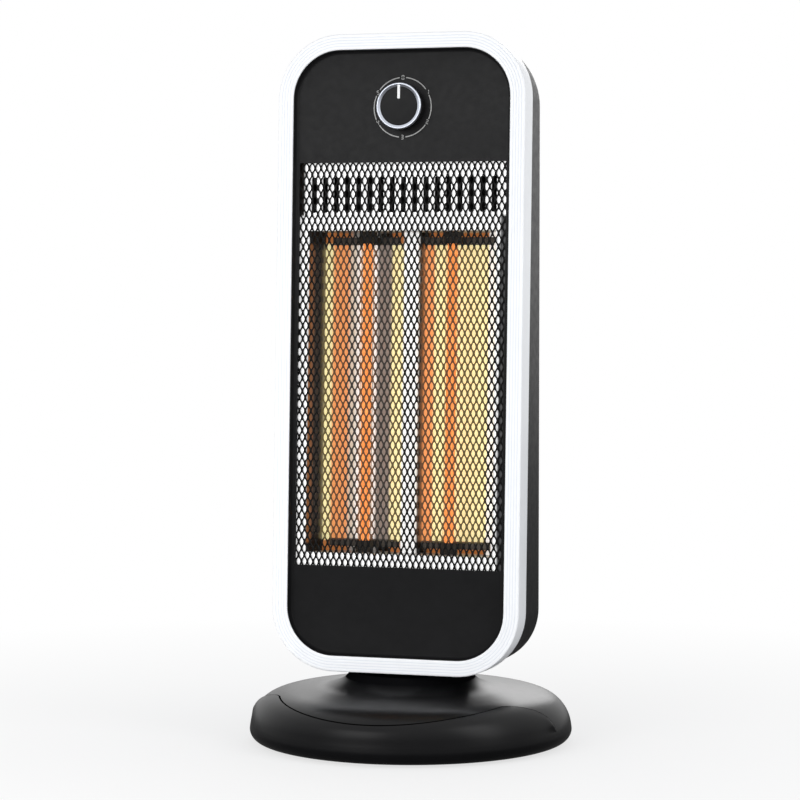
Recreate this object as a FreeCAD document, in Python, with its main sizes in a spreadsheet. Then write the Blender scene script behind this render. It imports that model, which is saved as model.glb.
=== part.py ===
# Oscillating carbon heater: a leaning heater head on a round weighted base, in millimetres.
# The origin is on the floor under the swivel axis, +Z is up and the grille faces -Y.
import FreeCAD, Part
import math
import os
import re
import Sketcher

Vector = FreeCAD.Vector

# Driving dimensions
SIZES = {
    "base_diameter": 250.0,
    "foot_inset": 6.5,
    "base_rim_height": 10.5,
    "shoulder_inset": 16.0,
    "rim_rise": 25.9,
    "dome_inset": 31.0,
    "dome_rise": 3.2,
    "dome_slope_rise": 3.4,
    "base_clearance": 2.0,
    "base_wall": 3.0,
    "dome_round": 60.0,
    "neck_diameter": 92.0,
    "flare_round": 24.0,
    "flare_rise": 12.0,
    "lip_thickness": 1.6,
    "lip_line_inset": 30.0,
    "lip_inner_inset": 40.0,
    "lip_end_rise": 5.5,
    "lip_line_setback": 21.0,
    "lip_line_turn": 18.0,
    "lip_hook_round": 24.0,
    "lip_hook_turn": 50.0,
    "lip_run_out": 60.0,
    "lip_edge": 0.5,
    "plate_thickness": 2.5,
    "plate_fit": 0.3,
    "pad_inset": 30.0,
    "boss_inset": 25.0,
    "ballast_inset": 34.0,
    "foot_diameter": 18.0,
    "boss_diameter": 9.0,
    "screw_diameter": 3.5,
    "screw_head_diameter": 7.0,
    "screw_head_height": 1.5,
    "screw_length": 18.0,
    "screw_room": 0.5,
    "screw_tip": 4.0,
    "ballast_thickness": 5.0,
    "ballast_bore": 24.0,
    "gland_diameter": 13.0,
    "gland_wall": 3.0,
    "gland_height": 16.0,
    "gland_length": 14.0,
    "gland_setback": 1.0,
    "motor_diameter": 50.0,
    "motor_height": 15.0,
    "motor_offset": 38.0,
    "bracket_thickness": 1.5,
    "bracket_length": 78.0,
    "bracket_width": 30.0,
    "motor_shaft_diameter": 6.0,
    "running_clearance": 0.05,
    "crank_throw": 22.0,
    "crank_thickness": 3.0,
    "crank_gap": 1.0,
    "crank_margin": 5.0,
    "crank_pin_diameter": 5.0,
    "crank_pin_proud": 1.2,
    "arm_gap": 1.5,
    "arm_thickness": 3.0,
    "arm_side_wall": 5.0,
    "arm_hub_wall": 7.0,
    "arm_slot_clearance": 1.0,
    "arm_end_wall": 4.0,
    "pivot_diameter": 28.0,
    "pivot_wall": 3.5,
    "pivot_flange_reach": 10.0,
    "bush_flange_thickness": 1.7,
    "bush_wall": 8.0,
    "bush_flange_reach": 7.0,
    "bush_length": 13.0,
    "swivel_gap": 0.3,
    "ring_thickness": 2.0,
    "ring_reach": 6.0,
    "tip_switch_width": 26.0,
    "tip_switch_depth": 18.0,
    "tip_switch_height": 20.0,
    "tip_switch_side": 60.0,
    "tip_switch_forward": 34.0,
    "tip_switch_room": 3.0,
    "plunger_diameter": 8.0,
    "plunger_length": 15.0,
    "plunger_clearance": 0.3,
    "spring_wire": 0.8,
    "spring_height": 5.0,
    "head_gap": 3.0,
    "head_width": 196.0,
    "head_corner": 49.0,
    "head_crown": 56.1,
    "front_offset": 47.1,
    "front_tilt": 2.573,
    "bezel_width": 12.0,
    "bezel_depth": 22.0,
    "bezel_ledge": 2.0,
    "bezel_edge_round": 2.5,
    "bezel_step_first": 2.6,
    "bezel_step_pitch": 2.15,
    "bezel_step_width": 0.6,
    "bezel_step_depth": 0.4,
    "panel_recess": 6.0,
    "panel_thickness": 3.0,
    "panel_fit": 0.3,
    "window_side": 3.7,
    "window_sill": 10.0,
    "window_head": 3.0,
    "window_bottom": 80.5,
    "grille_thickness": 1.0,
    "grille_overlap": 1.0,
    "cell_width": 13.4,
    "cell_height": 27.8,
    "strand_width": 1.2,
    "shield_sheet": 1.0,
    "shield_overlap": 1.0,
    "shield_overhang": 12.5,
    "shield_room": 6.0,
    "vent_band": 55.1,
    "reflector_gap": 1.0,
    "reflector_sheet": 0.8,
    "ridge_width": 11.0,
    "flange_show": 8.8,
    "bay_draft": 4.0,
    "bay_depth": 23.0,
    "bay_sag": 16.3,
    "sheet_fit": 0.3,
    "vent_slot_width": 3.8,
    "vent_slot_height": 25.2,
    "vent_slot_margin": 10.5,
    "vent_slot_rise": 15.1,
    "tube_diameter": 11.0,
    "tube_wall": 1.0,
    "tube_end_room": 3.0,
    "tube_proud": 3.0,
    "tube_shift": 3.5,
    "tube_length": 241.2,
    "cap_length": 16.0,
    "cap_wall": 1.3,
    "cap_socket": 6.0,
    "cap_fit": 0.1,
    "strap_height": 6.0,
    "strap_end": 3.5,
    "strap_gap": 0.3,
    "strap_sheet": 0.8,
    "element_width": 8.0,
    "element_thickness": 0.8,
    "cover_inset": 2.0,
    "cover_wall": 2.5,
    "cover_rear": 38.0,
    "cover_rear_round": 15.0,
    "cover_boss_wall": 0.8,
    "cover_boss_inset": 30.0,
    "cover_boss_spacing": 110.0,
    "cover_boss_gap": 0.3,
    "cover_vent_length": 90.0,
    "cover_vent_height": 4.0,
    "cover_vent_pitch": 10.0,
    "cover_vent_low": 100.0,
    "cover_vent_top": 77.5,
    "counterbore_room": 0.7,
    "counterbore_cover": 1.5,
    "knob_diameter": 35.4,
    "knob_rise": 41.6,
    "knob_length": 10.5,
    "knob_gap": 0.5,
    "knob_face_recess": 0.8,
    "knob_grip": 7.0,
    "knob_ring_width": 2.2,
    "knob_ring_height": 2.4,
    "pointer_width": 1.8,
    "pointer_length": 10.0,
    "pointer_thickness": 0.6,
    "switch_width": 30.0,
    "switch_depth": 20.0,
    "switch_shaft_diameter": 6.0,
    "switch_shaft_reach": 12.0,
    "panel_shaft_hole": 10.0,
    "cutout_diameter": 16.0,
    "cutout_thickness": 6.0,
    "cutout_drop": 60.0,
    "terminal_width": 46.0,
    "terminal_height": 16.0,
    "terminal_depth": 13.0,
    "terminal_rise": 20.0,
}

# Counts
BASE_FASTENERS = 4
BEZEL_STEPS = 4
VENT_SLOTS = 17
COVER_VENTS = 7

# Sizes that follow from the driving ones
FOLLOWING = {
    "base_foot_diameter": "base_diameter - 2 * foot_inset",
    "shoulder_diameter": "base_diameter - 2 * shoulder_inset",
    "shoulder_height": "base_rim_height + rim_rise",
    "dome_diameter": "base_diameter - 2 * dome_inset",
    "dome_height": "shoulder_height + dome_rise",
    "neck_height": "dome_height + dome_slope_rise + flare_rise",
    "flare_reach": "sqrt(flare_round^2 - (flare_round - flare_rise)^2)",
    "flare_inner_reach": "sqrt((flare_round + base_wall)^2 - (flare_round - flare_rise + base_wall)^2)",
    "lip_line_radius": "base_diameter / 2 - lip_line_inset",
    "lip_inner_diameter": "base_diameter - 2 * lip_inner_inset",
    "lip_end_height": "base_rim_height + lip_end_rise",
    "foot_circle": "base_diameter - 2 * pad_inset",
    "boss_circle": "base_diameter - 2 * boss_inset",
    "ballast_diameter": "base_diameter - 2 * ballast_inset",
    "gland_bore": "gland_diameter - 2 * gland_wall",
    "crank_pin_length": "arm_gap + arm_thickness + crank_pin_proud",
    "arm_width": "crank_pin_diameter + 2 * (arm_slot_clearance + arm_side_wall)",
    "arm_hub_diameter": "pivot_diameter + 2 * arm_hub_wall",
    "pivot_bore": "pivot_diameter - 2 * pivot_wall",
    "pivot_flange_diameter": "pivot_diameter + 2 * pivot_flange_reach",
    "pivot_screw_circle": "(pivot_diameter + pivot_flange_diameter) / 2",
    "bush_diameter": "pivot_diameter + 2 * bush_wall",
    "bush_flange_diameter": "bush_diameter + 2 * bush_flange_reach",
    "ring_diameter": "pivot_diameter + 2 * ring_reach",
    "window_width": "head_width - 2 * (bezel_width + window_side)",
    "reflector_bottom": "window_bottom + window_sill",
    "reflector_height": "tube_length + 2 * tube_end_room",
    "tube_bottom": "reflector_bottom + tube_end_room",
    "shield_bottom": "reflector_bottom - shield_overhang",
    "shield_height": "shield_overhang + reflector_height + vent_band",
    "shield_width": "window_width + 2 * shield_overlap",
    "window_height": "shield_bottom + shield_height - window_head - window_bottom",
    "knob_height": "window_bottom + window_height + knob_rise",
    "head_height": "knob_height + head_crown",
    "panel_back": "panel_recess + panel_thickness",
    "reflector_front": "panel_back + grille_thickness + reflector_gap",
    "bay_mouth": "window_width - 2 * flange_show",
    "bay_back_width": "bay_mouth - 2 * bay_draft",
    "bay_chord": "(bay_back_width - ridge_width) / 2",
    "bay_round": "(bay_chord^2 / 4 + bay_sag^2) / (2 * bay_sag)",
    "bay_wall_depth": "reflector_front + bay_depth",
    "shield_back": "bay_wall_depth + bay_sag + reflector_sheet + shield_room + shield_sheet",
    "tube_depth": "bay_wall_depth - tube_proud",
    "tube_spacing": "(bay_back_width + ridge_width) / 2 - 2 * tube_shift",
    "cap_diameter": "tube_diameter + 2 * cap_wall",
    "vent_slot_pitch": f"(window_width - 2 * vent_slot_margin) / {VENT_SLOTS - 1}",
    "vent_slot_bottom": "reflector_bottom + reflector_height + vent_slot_rise",
    "counterbore_diameter": "screw_head_diameter + 2 * counterbore_room",
    "counterbore_depth": "screw_head_height + counterbore_cover",
    "cover_boss_diameter": "counterbore_diameter + 2 * cover_boss_wall",
    "cover_boss_low": "shield_bottom + cover_boss_inset",
    "cover_boss_high": "shield_bottom + shield_height - cover_boss_inset",
    "cover_vent_high": "head_height - cover_vent_top",
    "cutout_height": "cover_boss_high - cutout_drop",
    "terminal_bottom": "cover_boss_low + terminal_rise",
}

# Edges closer than this to a plane lie on it
TOLERANCE = 0.01

doc = FreeCAD.newDocument("carbon_heater")
sheet = doc.addObject("Spreadsheet::Sheet", "Sizes")
for row, (alias, number) in enumerate(SIZES.items(), start=1):
    sheet.set(f"A{row}", alias)
    sheet.set(f"B{row}", str(number))
    sheet.setAlias(f"B{row}", alias)
doc.recompute()

nodes = []


def bound(text):
    """Write each size named in an expression as a reference to its cell."""
    def cell(word):
        if word[0] in FOLLOWING:
            return f"({bound(FOLLOWING[word[0]])})"
        return f"Sizes.{word[0]}" if word[0] in SIZES else word[0]
    return re.sub(r"[a-z_]+", cell, text)


def size(text):
    """The number, in millimetres or degrees, that an expression of sizes has now."""
    result = sheet.evalExpression(bound(text))
    return float(getattr(result, "Value", result))


def bind(feature, property_path, text):
    feature.setExpression(property_path, bound(text))


def new_body(label):
    """An empty solid of its own, which becomes a named piece."""
    part = doc.addObject("PartDesign::Body", label)
    part.Label = label
    part.AllowCompound = True
    nodes.append(part)
    return part


def new_sketch(part, plane, start="0"):
    """A sketch on one of the body's origin planes, moved along the plane's axis to start."""
    names = {"XY": "XY_Plane", "XZ": "XZ_Plane", "YZ": "YZ_Plane"}
    support = [feature for feature in part.Origin.OriginFeatures if feature.Role == names[plane]]
    sketch = part.newObject("Sketcher::SketchObject", f"{part.Name}_outline")
    sketch.AttachmentSupport = [(support[0], "")]
    sketch.MapMode = "FlatFace"
    along = f"-({start})" if plane == "XZ" else start
    bind(sketch, "AttachmentOffset.Base.z", along)
    return sketch


def pin(sketch, geometry, end, across, up):
    """Hold one end of an edge at two distances from the sketch's origin."""
    for kind, text in (("DistanceX", across), ("DistanceY", up)):
        constraint = Sketcher.Constraint(kind, -1, 1, geometry, end, size(text))
        bind(sketch, f"Constraints[{sketch.addConstraint(constraint)}]", text)


def circle(sketch, across, up, diameter):
    centre = Vector(size(across), size(up), 0)
    index = sketch.addGeometry(Part.Circle(centre, Vector(0, 0, 1), size(diameter) / 2))
    pin(sketch, index, 3, across, up)
    constraint = sketch.addConstraint(Sketcher.Constraint("Diameter", index, size(diameter)))
    bind(sketch, f"Constraints[{constraint}]", diameter)


def outline(sketch, corners):
    """A closed outline, corner by corner and anticlockwise.

    A corner is (across, up) before a straight edge, or (across, up, radius, side) before an arc,
    where side is 1 for an arc that swells outwards and -1 for one that is drawn in.
    """
    points = [Vector(size(corner[0]), size(corner[1]), 0) for corner in corners]
    edges = []
    for place, corner in enumerate(corners):
        start = points[place]
        finish = points[(place + 1) % len(points)]
        if len(corner) == 2:
            index = sketch.addGeometry(Part.LineSegment(start, finish))
            edges.append((index, 1, 2))
            continue
        radius = size(corner[2])
        chord = finish - start
        rise = math.sqrt(max(radius ** 2 - chord.Length ** 2 / 4, 0))
        inward = Vector(-chord.y, chord.x, 0).normalize() * corner[3]
        centre = (start + finish) * 0.5 + inward * rise
        ends = (start, finish) if corner[3] > 0 else (finish, start)
        angles = [math.atan2(point.y - centre.y, point.x - centre.x) for point in ends]
        round_edge = Part.ArcOfCircle(Part.Circle(centre, Vector(0, 0, 1), radius), *angles)
        index = sketch.addGeometry(round_edge)
        edges.append((index, 1, 2) if corner[3] > 0 else (index, 2, 1))
    for place, (index, start_end, finish_end) in enumerate(edges):
        following, following_end, unused_end = edges[(place + 1) % len(edges)]
        sketch.addConstraint(Sketcher.Constraint("Coincident", index, finish_end, following, following_end))
    for (index, start_end, finish_end), corner in zip(edges, corners):
        pin(sketch, index, start_end, corner[0], corner[1])
        if len(corner) == 4:
            constraint = sketch.addConstraint(Sketcher.Constraint("Radius", index, size(corner[2])))
            bind(sketch, f"Constraints[{constraint}]", corner[2])


def box_outline(sketch, left, right, bottom, top):
    outline(sketch, [(left, bottom), (right, bottom), (right, top), (left, top)])


def rounded_outline(sketch, left, right, bottom, top, radius):
    """A rectangle with four round corners."""
    outline(sketch, [
        (f"{left} + {radius}", bottom),
        (f"{right} - ({radius})", bottom, radius, 1),
        (right, f"{bottom} + {radius}"),
        (right, f"{top} - ({radius})", radius, 1),
        (f"{right} - ({radius})", top),
        (f"{left} + {radius}", top, radius, 1),
        (left, f"{top} - ({radius})"),
        (left, f"{bottom} + {radius}", radius, 1),
    ])


def pad(part, sketch, length):
    """Grow the sketch along its plane's axis, which is +Z, +Y or +X."""
    feature = part.newObject("PartDesign::Pad", f"{part.Name}_pad")
    feature.Profile = sketch
    bind(feature, "Length", length)
    feature.Reversed = "XZ" in sketch.AttachmentSupport[0][0].Role
    doc.recompute()
    return feature


def pocket(part, sketch, length):
    """Cut the sketch along its plane's axis, and make sure that something was cut."""
    before = part.Shape.Volume
    feature = part.newObject("PartDesign::Pocket", f"{part.Name}_pocket")
    feature.Profile = sketch
    bind(feature, "Length", length)
    feature.Reversed = "XZ" not in sketch.AttachmentSupport[0][0].Role
    doc.recompute()
    if part.Shape.Volume >= before:
        raise RuntimeError(f"{part.Label}: a pocket cut nothing")
    return feature


def revolve(part, corners):
    """Turn a half profile, given as (radius, height) corners, once round the Z axis."""
    sketch = new_sketch(part, "XZ")
    outline(sketch, corners)
    feature = part.newObject("PartDesign::Revolution", f"{part.Name}_turn")
    feature.Profile = sketch
    feature.ReferenceAxis = (sketch, ["V_Axis"])
    feature.Angle = 360.0
    doc.recompute()
    return feature


def fillet(part, feature, radius, keep):
    """Round each edge of a feature that keep(edge) accepts."""
    names = [f"Edge{place}" for place, edge in enumerate(feature.Shape.Edges, start=1) if keep(edge)]
    rounding = part.newObject("PartDesign::Fillet", f"{part.Name}_round")
    rounding.Base = (feature, names)
    bind(rounding, "Radius", radius)
    doc.recompute()
    return rounding


def repeat_up(part, feature, pitch, count):
    """Repeat a cut up its sketch's vertical axis."""
    pattern = part.newObject("PartDesign::LinearPattern", f"{part.Name}_row")
    pattern.Originals = [feature]
    pattern.Direction = (feature.Profile[0], ["V_Axis"])
    bind(pattern, "Length", f"{pitch} * {count - 1}")
    pattern.Occurrences = count
    part.Tip = pattern
    doc.recompute()


def lean(part, depth="0", up="0", turn="0"):
    """Place a piece of the head's front frame, which leans back by the front's tilt.

    Depth is measured square to the front plane, and up along it from the head's lower edge.
    """
    part.Placement = FreeCAD.Placement(Vector(), FreeCAD.Rotation(Vector(1, 0, 0), 1))
    bind(part, "Placement.Base.y", f"-front_offset + ({depth}) * cos(front_tilt) + ({up}) * sin(front_tilt)")
    bind(part, "Placement.Base.z", f"{HEAD_BOTTOM} + ({up}) * cos(front_tilt) - ({depth}) * sin(front_tilt)")
    bind(part, "Placement.Rotation.Angle", f"{turn} - front_tilt")


def around(count, circle_diameter, first_angle=0):
    """Places (across, back) of fasteners spread evenly on a circle."""
    angles = [first_angle + 360 / count * place for place in range(count)]
    return [
        (f"{circle_diameter} / 2 * cos({angle})", f"{circle_diameter} / 2 * sin({angle})")
        for angle in angles
    ]


def circles(sketch, places, diameter):
    for across, up in places:
        circle(sketch, across, up, diameter)


def disc(part, start, length, places, diameter, bore=None):
    """Upright round bars of one diameter, each with an optional bore."""
    sketch = new_sketch(part, "XY", start)
    circles(sketch, places, diameter)
    if bore:
        circles(sketch, places, bore)
    return pad(part, sketch, length)


# Shared heights of the base, counted up from the floor
AXIS = [("0", "0")]
PLATE_TOP = "(base_clearance + plate_thickness)"
BRACKET_FLOOR = f"({PLATE_TOP} + ballast_thickness)"
MOTOR_FLOOR = f"({BRACKET_FLOOR} + bracket_thickness)"
CRANK_FLOOR = f"({MOTOR_FLOOR} + motor_height + crank_gap)"
ARM_FLOOR = f"({CRANK_FLOOR} + crank_thickness + arm_gap)"
HEAD_BOTTOM = "(neck_height + head_gap)"
COVER_BOTTOM = f"({HEAD_BOTTOM} + cover_inset)"
FLANGE_FLOOR = "(neck_height + bush_flange_thickness + swivel_gap)"
MOTOR_PLACE = [("0", "motor_offset")]
PLUNGER_PLACE = [("-tip_switch_side", "-tip_switch_forward")]
BASE_SCREW_PLACES = around(BASE_FASTENERS, "boss_circle", 45)
PIVOT_SCREW_PLACES = around(BASE_FASTENERS, "pivot_screw_circle", 45)

# Curves of the base's outside, which the lip lies on
RIM_ROUND = "((shoulder_inset^2 + rim_rise^2) / (2 * shoulder_inset))"
RIM_CENTRE = f"(base_diameter / 2 - {RIM_ROUND})"
FOOT_ROUND = "((foot_inset^2 + (base_rim_height - base_clearance)^2) / (2 * foot_inset))"


def shoulder(distance):
    """The shoulder point moved square to the base's surface, outwards if distance is positive."""
    across = f"shoulder_diameter / 2 + ({distance}) * (shoulder_diameter / 2 - {RIM_CENTRE}) / {RIM_ROUND}"
    up = f"shoulder_height + ({distance}) * rim_rise / {RIM_ROUND}"
    return across, up


def make_base_cover():
    part = new_body("base_cover")
    flare_edge = "(neck_diameter / 2 + flare_reach)"
    revolve(part, [
        ("base_foot_diameter / 2", "base_clearance", FOOT_ROUND, 1),
        ("base_diameter / 2", "base_rim_height", RIM_ROUND, 1),
        ("shoulder_diameter / 2", "shoulder_height", "dome_round", 1),
        ("dome_diameter / 2", "dome_height"),
        (flare_edge, "neck_height - flare_rise", "flare_round", -1),
        ("neck_diameter / 2", "neck_height"),
        ("bush_diameter / 2", "neck_height"),
        ("bush_diameter / 2", "neck_height - base_wall"),
        (f"{flare_edge} - flare_inner_reach", "neck_height - base_wall", "flare_round + base_wall", 1),
        (flare_edge, "neck_height - flare_rise - base_wall"),
        ("dome_diameter / 2", "dome_height - base_wall", "dome_round - base_wall", -1),
        (*shoulder("-base_wall"), f"{RIM_ROUND} - base_wall", -1),
        ("base_diameter / 2 - base_wall", "base_rim_height", FOOT_ROUND, -1),
        ("base_foot_diameter / 2 - base_wall", "base_clearance"),
    ])
    disc(part, PLATE_TOP, f"dome_height - base_wall - {PLATE_TOP}", BASE_SCREW_PLACES, "boss_diameter")
    holes = new_sketch(part, "XY", PLATE_TOP)
    circles(holes, BASE_SCREW_PLACES, "screw_diameter")
    pocket(part, holes, "screw_length")
    cord_hole = new_sketch(part, "XZ", "base_diameter / 2 - gland_length")
    circle(cord_hole, "0", "gland_height", "gland_diameter")
    pocket(part, cord_hole, "gland_length")


def make_base_front_lip():
    """A thin crescent that wraps the front of the base and ends in a hook at each side."""
    part = new_body("base_front_lip")
    end_radius = f"({RIM_CENTRE} + sqrt({RIM_ROUND}^2 - (lip_end_height - base_rim_height)^2))"
    slope = "dome_slope_rise / (dome_diameter / 2 - neck_diameter / 2 - flare_reach)"
    inner_height = f"(dome_height + (dome_diameter - lip_inner_diameter) / 2 * {slope})"
    revolve(part, [
        (f"{end_radius} + lip_edge", "lip_end_height", f"{RIM_ROUND} + lip_thickness", 1),
        (*shoulder("lip_thickness"), "dome_round + lip_thickness", 1),
        ("dome_diameter / 2", "dome_height + lip_thickness"),
        ("lip_inner_diameter / 2", f"{inner_height} + lip_thickness"),
        ("lip_inner_diameter / 2", inner_height),
        ("dome_diameter / 2", "dome_height", "dome_round", -1),
        ("shoulder_diameter / 2", "shoulder_height", RIM_ROUND, -1),
        (end_radius, "lip_end_height"),
    ])
    arc_end_x = "(lip_line_radius * cos(lip_line_turn))"
    arc_end_y = "(-lip_line_setback - lip_line_radius * sin(lip_line_turn))"
    leave = "(90 - lip_line_turn - lip_hook_turn)"
    hook_end_x = f"({arc_end_x} + lip_hook_round * (cos(lip_line_turn) - sin({leave})))"
    hook_end_y = f"({arc_end_y} - lip_hook_round * (sin(lip_line_turn) - cos({leave})))"
    out_x = f"({hook_end_x} + lip_run_out * cos({leave}))"
    out_y = f"({hook_end_y} + lip_run_out * sin({leave}))"
    behind = new_sketch(part, "XY")
    outline(behind, [
        (f"-{out_x}", out_y),
        (f"-{hook_end_x}", hook_end_y, "lip_hook_round", -1),
        (f"-{arc_end_x}", arc_end_y, "lip_line_radius", 1),
        ("0", "-lip_line_setback - lip_line_radius", "lip_line_radius", 1),
        (arc_end_x, arc_end_y, "lip_hook_round", -1),
        (hook_end_x, hook_end_y),
        (out_x, out_y),
        ("base_diameter", "base_diameter"),
        ("-base_diameter", "base_diameter"),
    ])
    pocket(part, behind, "neck_height")


def make_base_plate():
    part = new_body("base_plate")
    disc(part, "base_clearance", "plate_thickness", AXIS, "base_foot_diameter - 2 * (base_wall + plate_fit)")
    holes = new_sketch(part, "XY", "base_clearance")
    circles(holes, BASE_SCREW_PLACES, "screw_diameter")
    circles(holes, PLUNGER_PLACE, "plunger_diameter + 2 * plunger_clearance")
    pocket(part, holes, "plate_thickness")


def make_base_screws():
    part = new_body("base_screws")
    head_floor = "base_clearance - screw_head_height"
    disc(part, head_floor, "screw_head_height", BASE_SCREW_PLACES, "screw_head_diameter")
    disc(part, "base_clearance", "screw_length", BASE_SCREW_PLACES, "screw_diameter")


def make_rubber_feet():
    part = new_body("rubber_feet")
    disc(part, "0", "base_clearance", around(BASE_FASTENERS, "foot_circle"), "foot_diameter")


def tip_switch_outline(sketch, room):
    """The tip-over switch seen from above, with some room round it."""
    across = f"(tip_switch_width / 2 + {room})"
    back = f"(tip_switch_depth / 2 + {room})"
    box_outline(
        sketch,
        f"-tip_switch_side - {across}", f"-tip_switch_side + {across}",
        f"-tip_switch_forward - {back}", f"-tip_switch_forward + {back}",
    )


def make_ballast_plate():
    part = new_body("ballast_plate")
    disc(part, PLATE_TOP, "ballast_thickness", AXIS, "ballast_diameter", "ballast_bore")
    room = new_sketch(part, "XY", PLATE_TOP)
    tip_switch_outline(room, "tip_switch_room")
    pocket(part, room, "ballast_thickness")


def make_tip_over_switch():
    part = new_body("tip_over_switch")
    case = new_sketch(part, "XY", PLATE_TOP)
    tip_switch_outline(case, "0")
    pad(part, case, "tip_switch_height")
    bore = new_sketch(part, "XY", PLATE_TOP)
    circles(bore, PLUNGER_PLACE, "plunger_diameter + 2 * plunger_clearance")
    pocket(part, bore, f"plunger_length + spring_height - {PLATE_TOP}")


def make_tip_over_plunger():
    part = new_body("tip_over_plunger")
    disc(part, "0", "plunger_length", PLUNGER_PLACE, "plunger_diameter")


def make_plunger_spring():
    part = new_body("plunger_spring")
    inner = "plunger_diameter - 2 * spring_wire"
    disc(part, "plunger_length", "spring_height", PLUNGER_PLACE, "plunger_diameter", inner)


def make_cord_gland():
    part = new_body("cord_gland")
    section = new_sketch(part, "XZ", "base_diameter / 2 - gland_length")
    circle(section, "0", "gland_height", "gland_diameter")
    circle(section, "0", "gland_height", "gland_bore")
    pad(part, section, "gland_length - gland_setback")


def make_oscillation_motor():
    bracket = new_body("motor_bracket")
    sheet_outline = new_sketch(bracket, "XY", BRACKET_FLOOR)
    box_outline(
        sheet_outline,
        "-bracket_length / 2", "bracket_length / 2",
        "motor_offset - bracket_width / 2", "motor_offset + bracket_width / 2",
    )
    pad(bracket, sheet_outline, "bracket_thickness")
    motor = new_body("oscillation_motor")
    shaft_bore = "motor_shaft_diameter + 2 * running_clearance"
    disc(motor, MOTOR_FLOOR, "motor_height", MOTOR_PLACE, "motor_diameter", shaft_bore)


def make_crank():
    shaft = new_body("motor_shaft")
    disc(
        shaft, f"{MOTOR_FLOOR} + motor_height / 3",
        "2 * motor_height / 3 + crank_gap + crank_thickness", MOTOR_PLACE, "motor_shaft_diameter",
    )
    crank = new_body("crank_disc")
    diameter = "2 * (crank_throw + crank_margin)"
    disc(crank, CRANK_FLOOR, "crank_thickness", MOTOR_PLACE, diameter, "motor_shaft_diameter")
    pin_place = [("0", "motor_offset + crank_throw")]
    disc(crank, f"{CRANK_FLOOR} + crank_thickness", "crank_pin_length", pin_place, "crank_pin_diameter")


def make_oscillation_arm():
    """A slotted arm on the pivot tube, which the crank pin swings to and fro."""
    part = new_body("oscillation_arm")
    slot_half = "(crank_pin_diameter / 2 + arm_slot_clearance)"
    slot_far = f"motor_offset + crank_throw + {slot_half}"
    bar = new_sketch(part, "XY", ARM_FLOOR)
    box_outline(bar, "-arm_width / 2", "arm_width / 2", "0", f"{slot_far} + arm_end_wall")
    pad(part, bar, "arm_thickness")
    disc(part, ARM_FLOOR, "arm_thickness", AXIS, "arm_hub_diameter")
    slot = new_sketch(part, "XY", ARM_FLOOR)
    slot_near = f"sqrt(motor_offset^2 + crank_throw^2) - {slot_half}"
    box_outline(slot, f"-{slot_half}", slot_half, slot_near, slot_far)
    circles(slot, AXIS, "pivot_diameter")
    pocket(part, slot, "arm_thickness")


def make_pivot():
    tube = new_body("pivot_tube")
    disc(tube, ARM_FLOOR, f"{COVER_BOTTOM} - {ARM_FLOOR}", AXIS, "pivot_diameter", "pivot_bore")
    disc(
        tube, FLANGE_FLOOR, f"{COVER_BOTTOM} - {FLANGE_FLOOR}",
        AXIS, "pivot_flange_diameter", "pivot_bore",
    )
    holes = new_sketch(tube, "XY", FLANGE_FLOOR)
    circles(holes, PIVOT_SCREW_PLACES, "screw_diameter")
    pocket(tube, holes, f"{COVER_BOTTOM} - {FLANGE_FLOOR}")
    screws = new_body("pivot_screws")
    shank = f"{COVER_BOTTOM} + cover_wall - {FLANGE_FLOOR}"
    disc(screws, FLANGE_FLOOR, shank, PIVOT_SCREW_PLACES, "screw_diameter")
    head_floor = f"{COVER_BOTTOM} + cover_wall"
    disc(screws, head_floor, "screw_head_height", PIVOT_SCREW_PLACES, "screw_head_diameter")
    ring = new_body("retaining_ring")
    ring_floor = "neck_height - bush_length - swivel_gap - ring_thickness"
    disc(ring, ring_floor, "ring_thickness", AXIS, "ring_diameter", "pivot_diameter")
    bush = new_body("swivel_bush")
    bore = "pivot_diameter + 2 * running_clearance"
    disc(bush, "neck_height - bush_length", "bush_length", AXIS, "bush_diameter", bore)
    disc(bush, "neck_height", "bush_flange_thickness", AXIS, "bush_flange_diameter", bore)


# Shared depths of the head, counted back from its front plane
SHIELD_FRONT = "(reflector_front + reflector_sheet)"
SHIELD_SIDE = "(shield_width / 2)"
REFLECTOR_TOP = "(reflector_bottom + reflector_height)"
TUBE_TOP = "(tube_bottom + tube_length)"
TUBE_PLACES = [("-tube_spacing / 2", "tube_depth"), ("tube_spacing / 2", "tube_depth")]


def head_outline(sketch, inset):
    """The head's rounded outline in its front frame, drawn in by an inset all round."""
    rounded_outline(
        sketch,
        f"-head_width / 2 + {inset}", f"head_width / 2 - ({inset})",
        inset, f"head_height - ({inset})", f"(head_corner - ({inset}))",
    )


def make_front_bezel():
    part = new_body("front_bezel")
    block = new_sketch(part, "XZ")
    head_outline(block, "0")
    solid = pad(part, block, "bezel_depth")
    fillet(part, solid, "bezel_edge_round", lambda edge: edge.BoundBox.YMax < TOLERANCE)
    opening = new_sketch(part, "XZ")
    head_outline(opening, "bezel_width")
    pocket(part, opening, "panel_back")
    behind_ledge = new_sketch(part, "XZ")
    head_outline(behind_ledge, "bezel_width + bezel_ledge")
    pocket(part, behind_ledge, "bezel_depth")
    steps = new_sketch(part, "XZ")
    for step in range(BEZEL_STEPS):
        inset = f"bezel_step_first + bezel_step_pitch * {step}"
        head_outline(steps, inset)
        head_outline(steps, f"{inset} + bezel_step_width")
    pocket(part, steps, "bezel_step_depth")
    lean(part)


def window_outline(sketch, margin):
    """The heating window, grown by a margin."""
    box_outline(
        sketch,
        f"-window_width / 2 - {margin}", f"window_width / 2 + {margin}",
        f"window_bottom - {margin}", f"window_bottom + window_height + {margin}",
    )


def make_front_panel():
    part = new_body("front_panel")
    sketch = new_sketch(part, "XZ", "panel_recess")
    head_outline(sketch, "bezel_width + panel_fit")
    window_outline(sketch, "0")
    circle(sketch, "0", "knob_height", "panel_shaft_hole")
    pad(part, sketch, "panel_thickness")
    lean(part)


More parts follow.
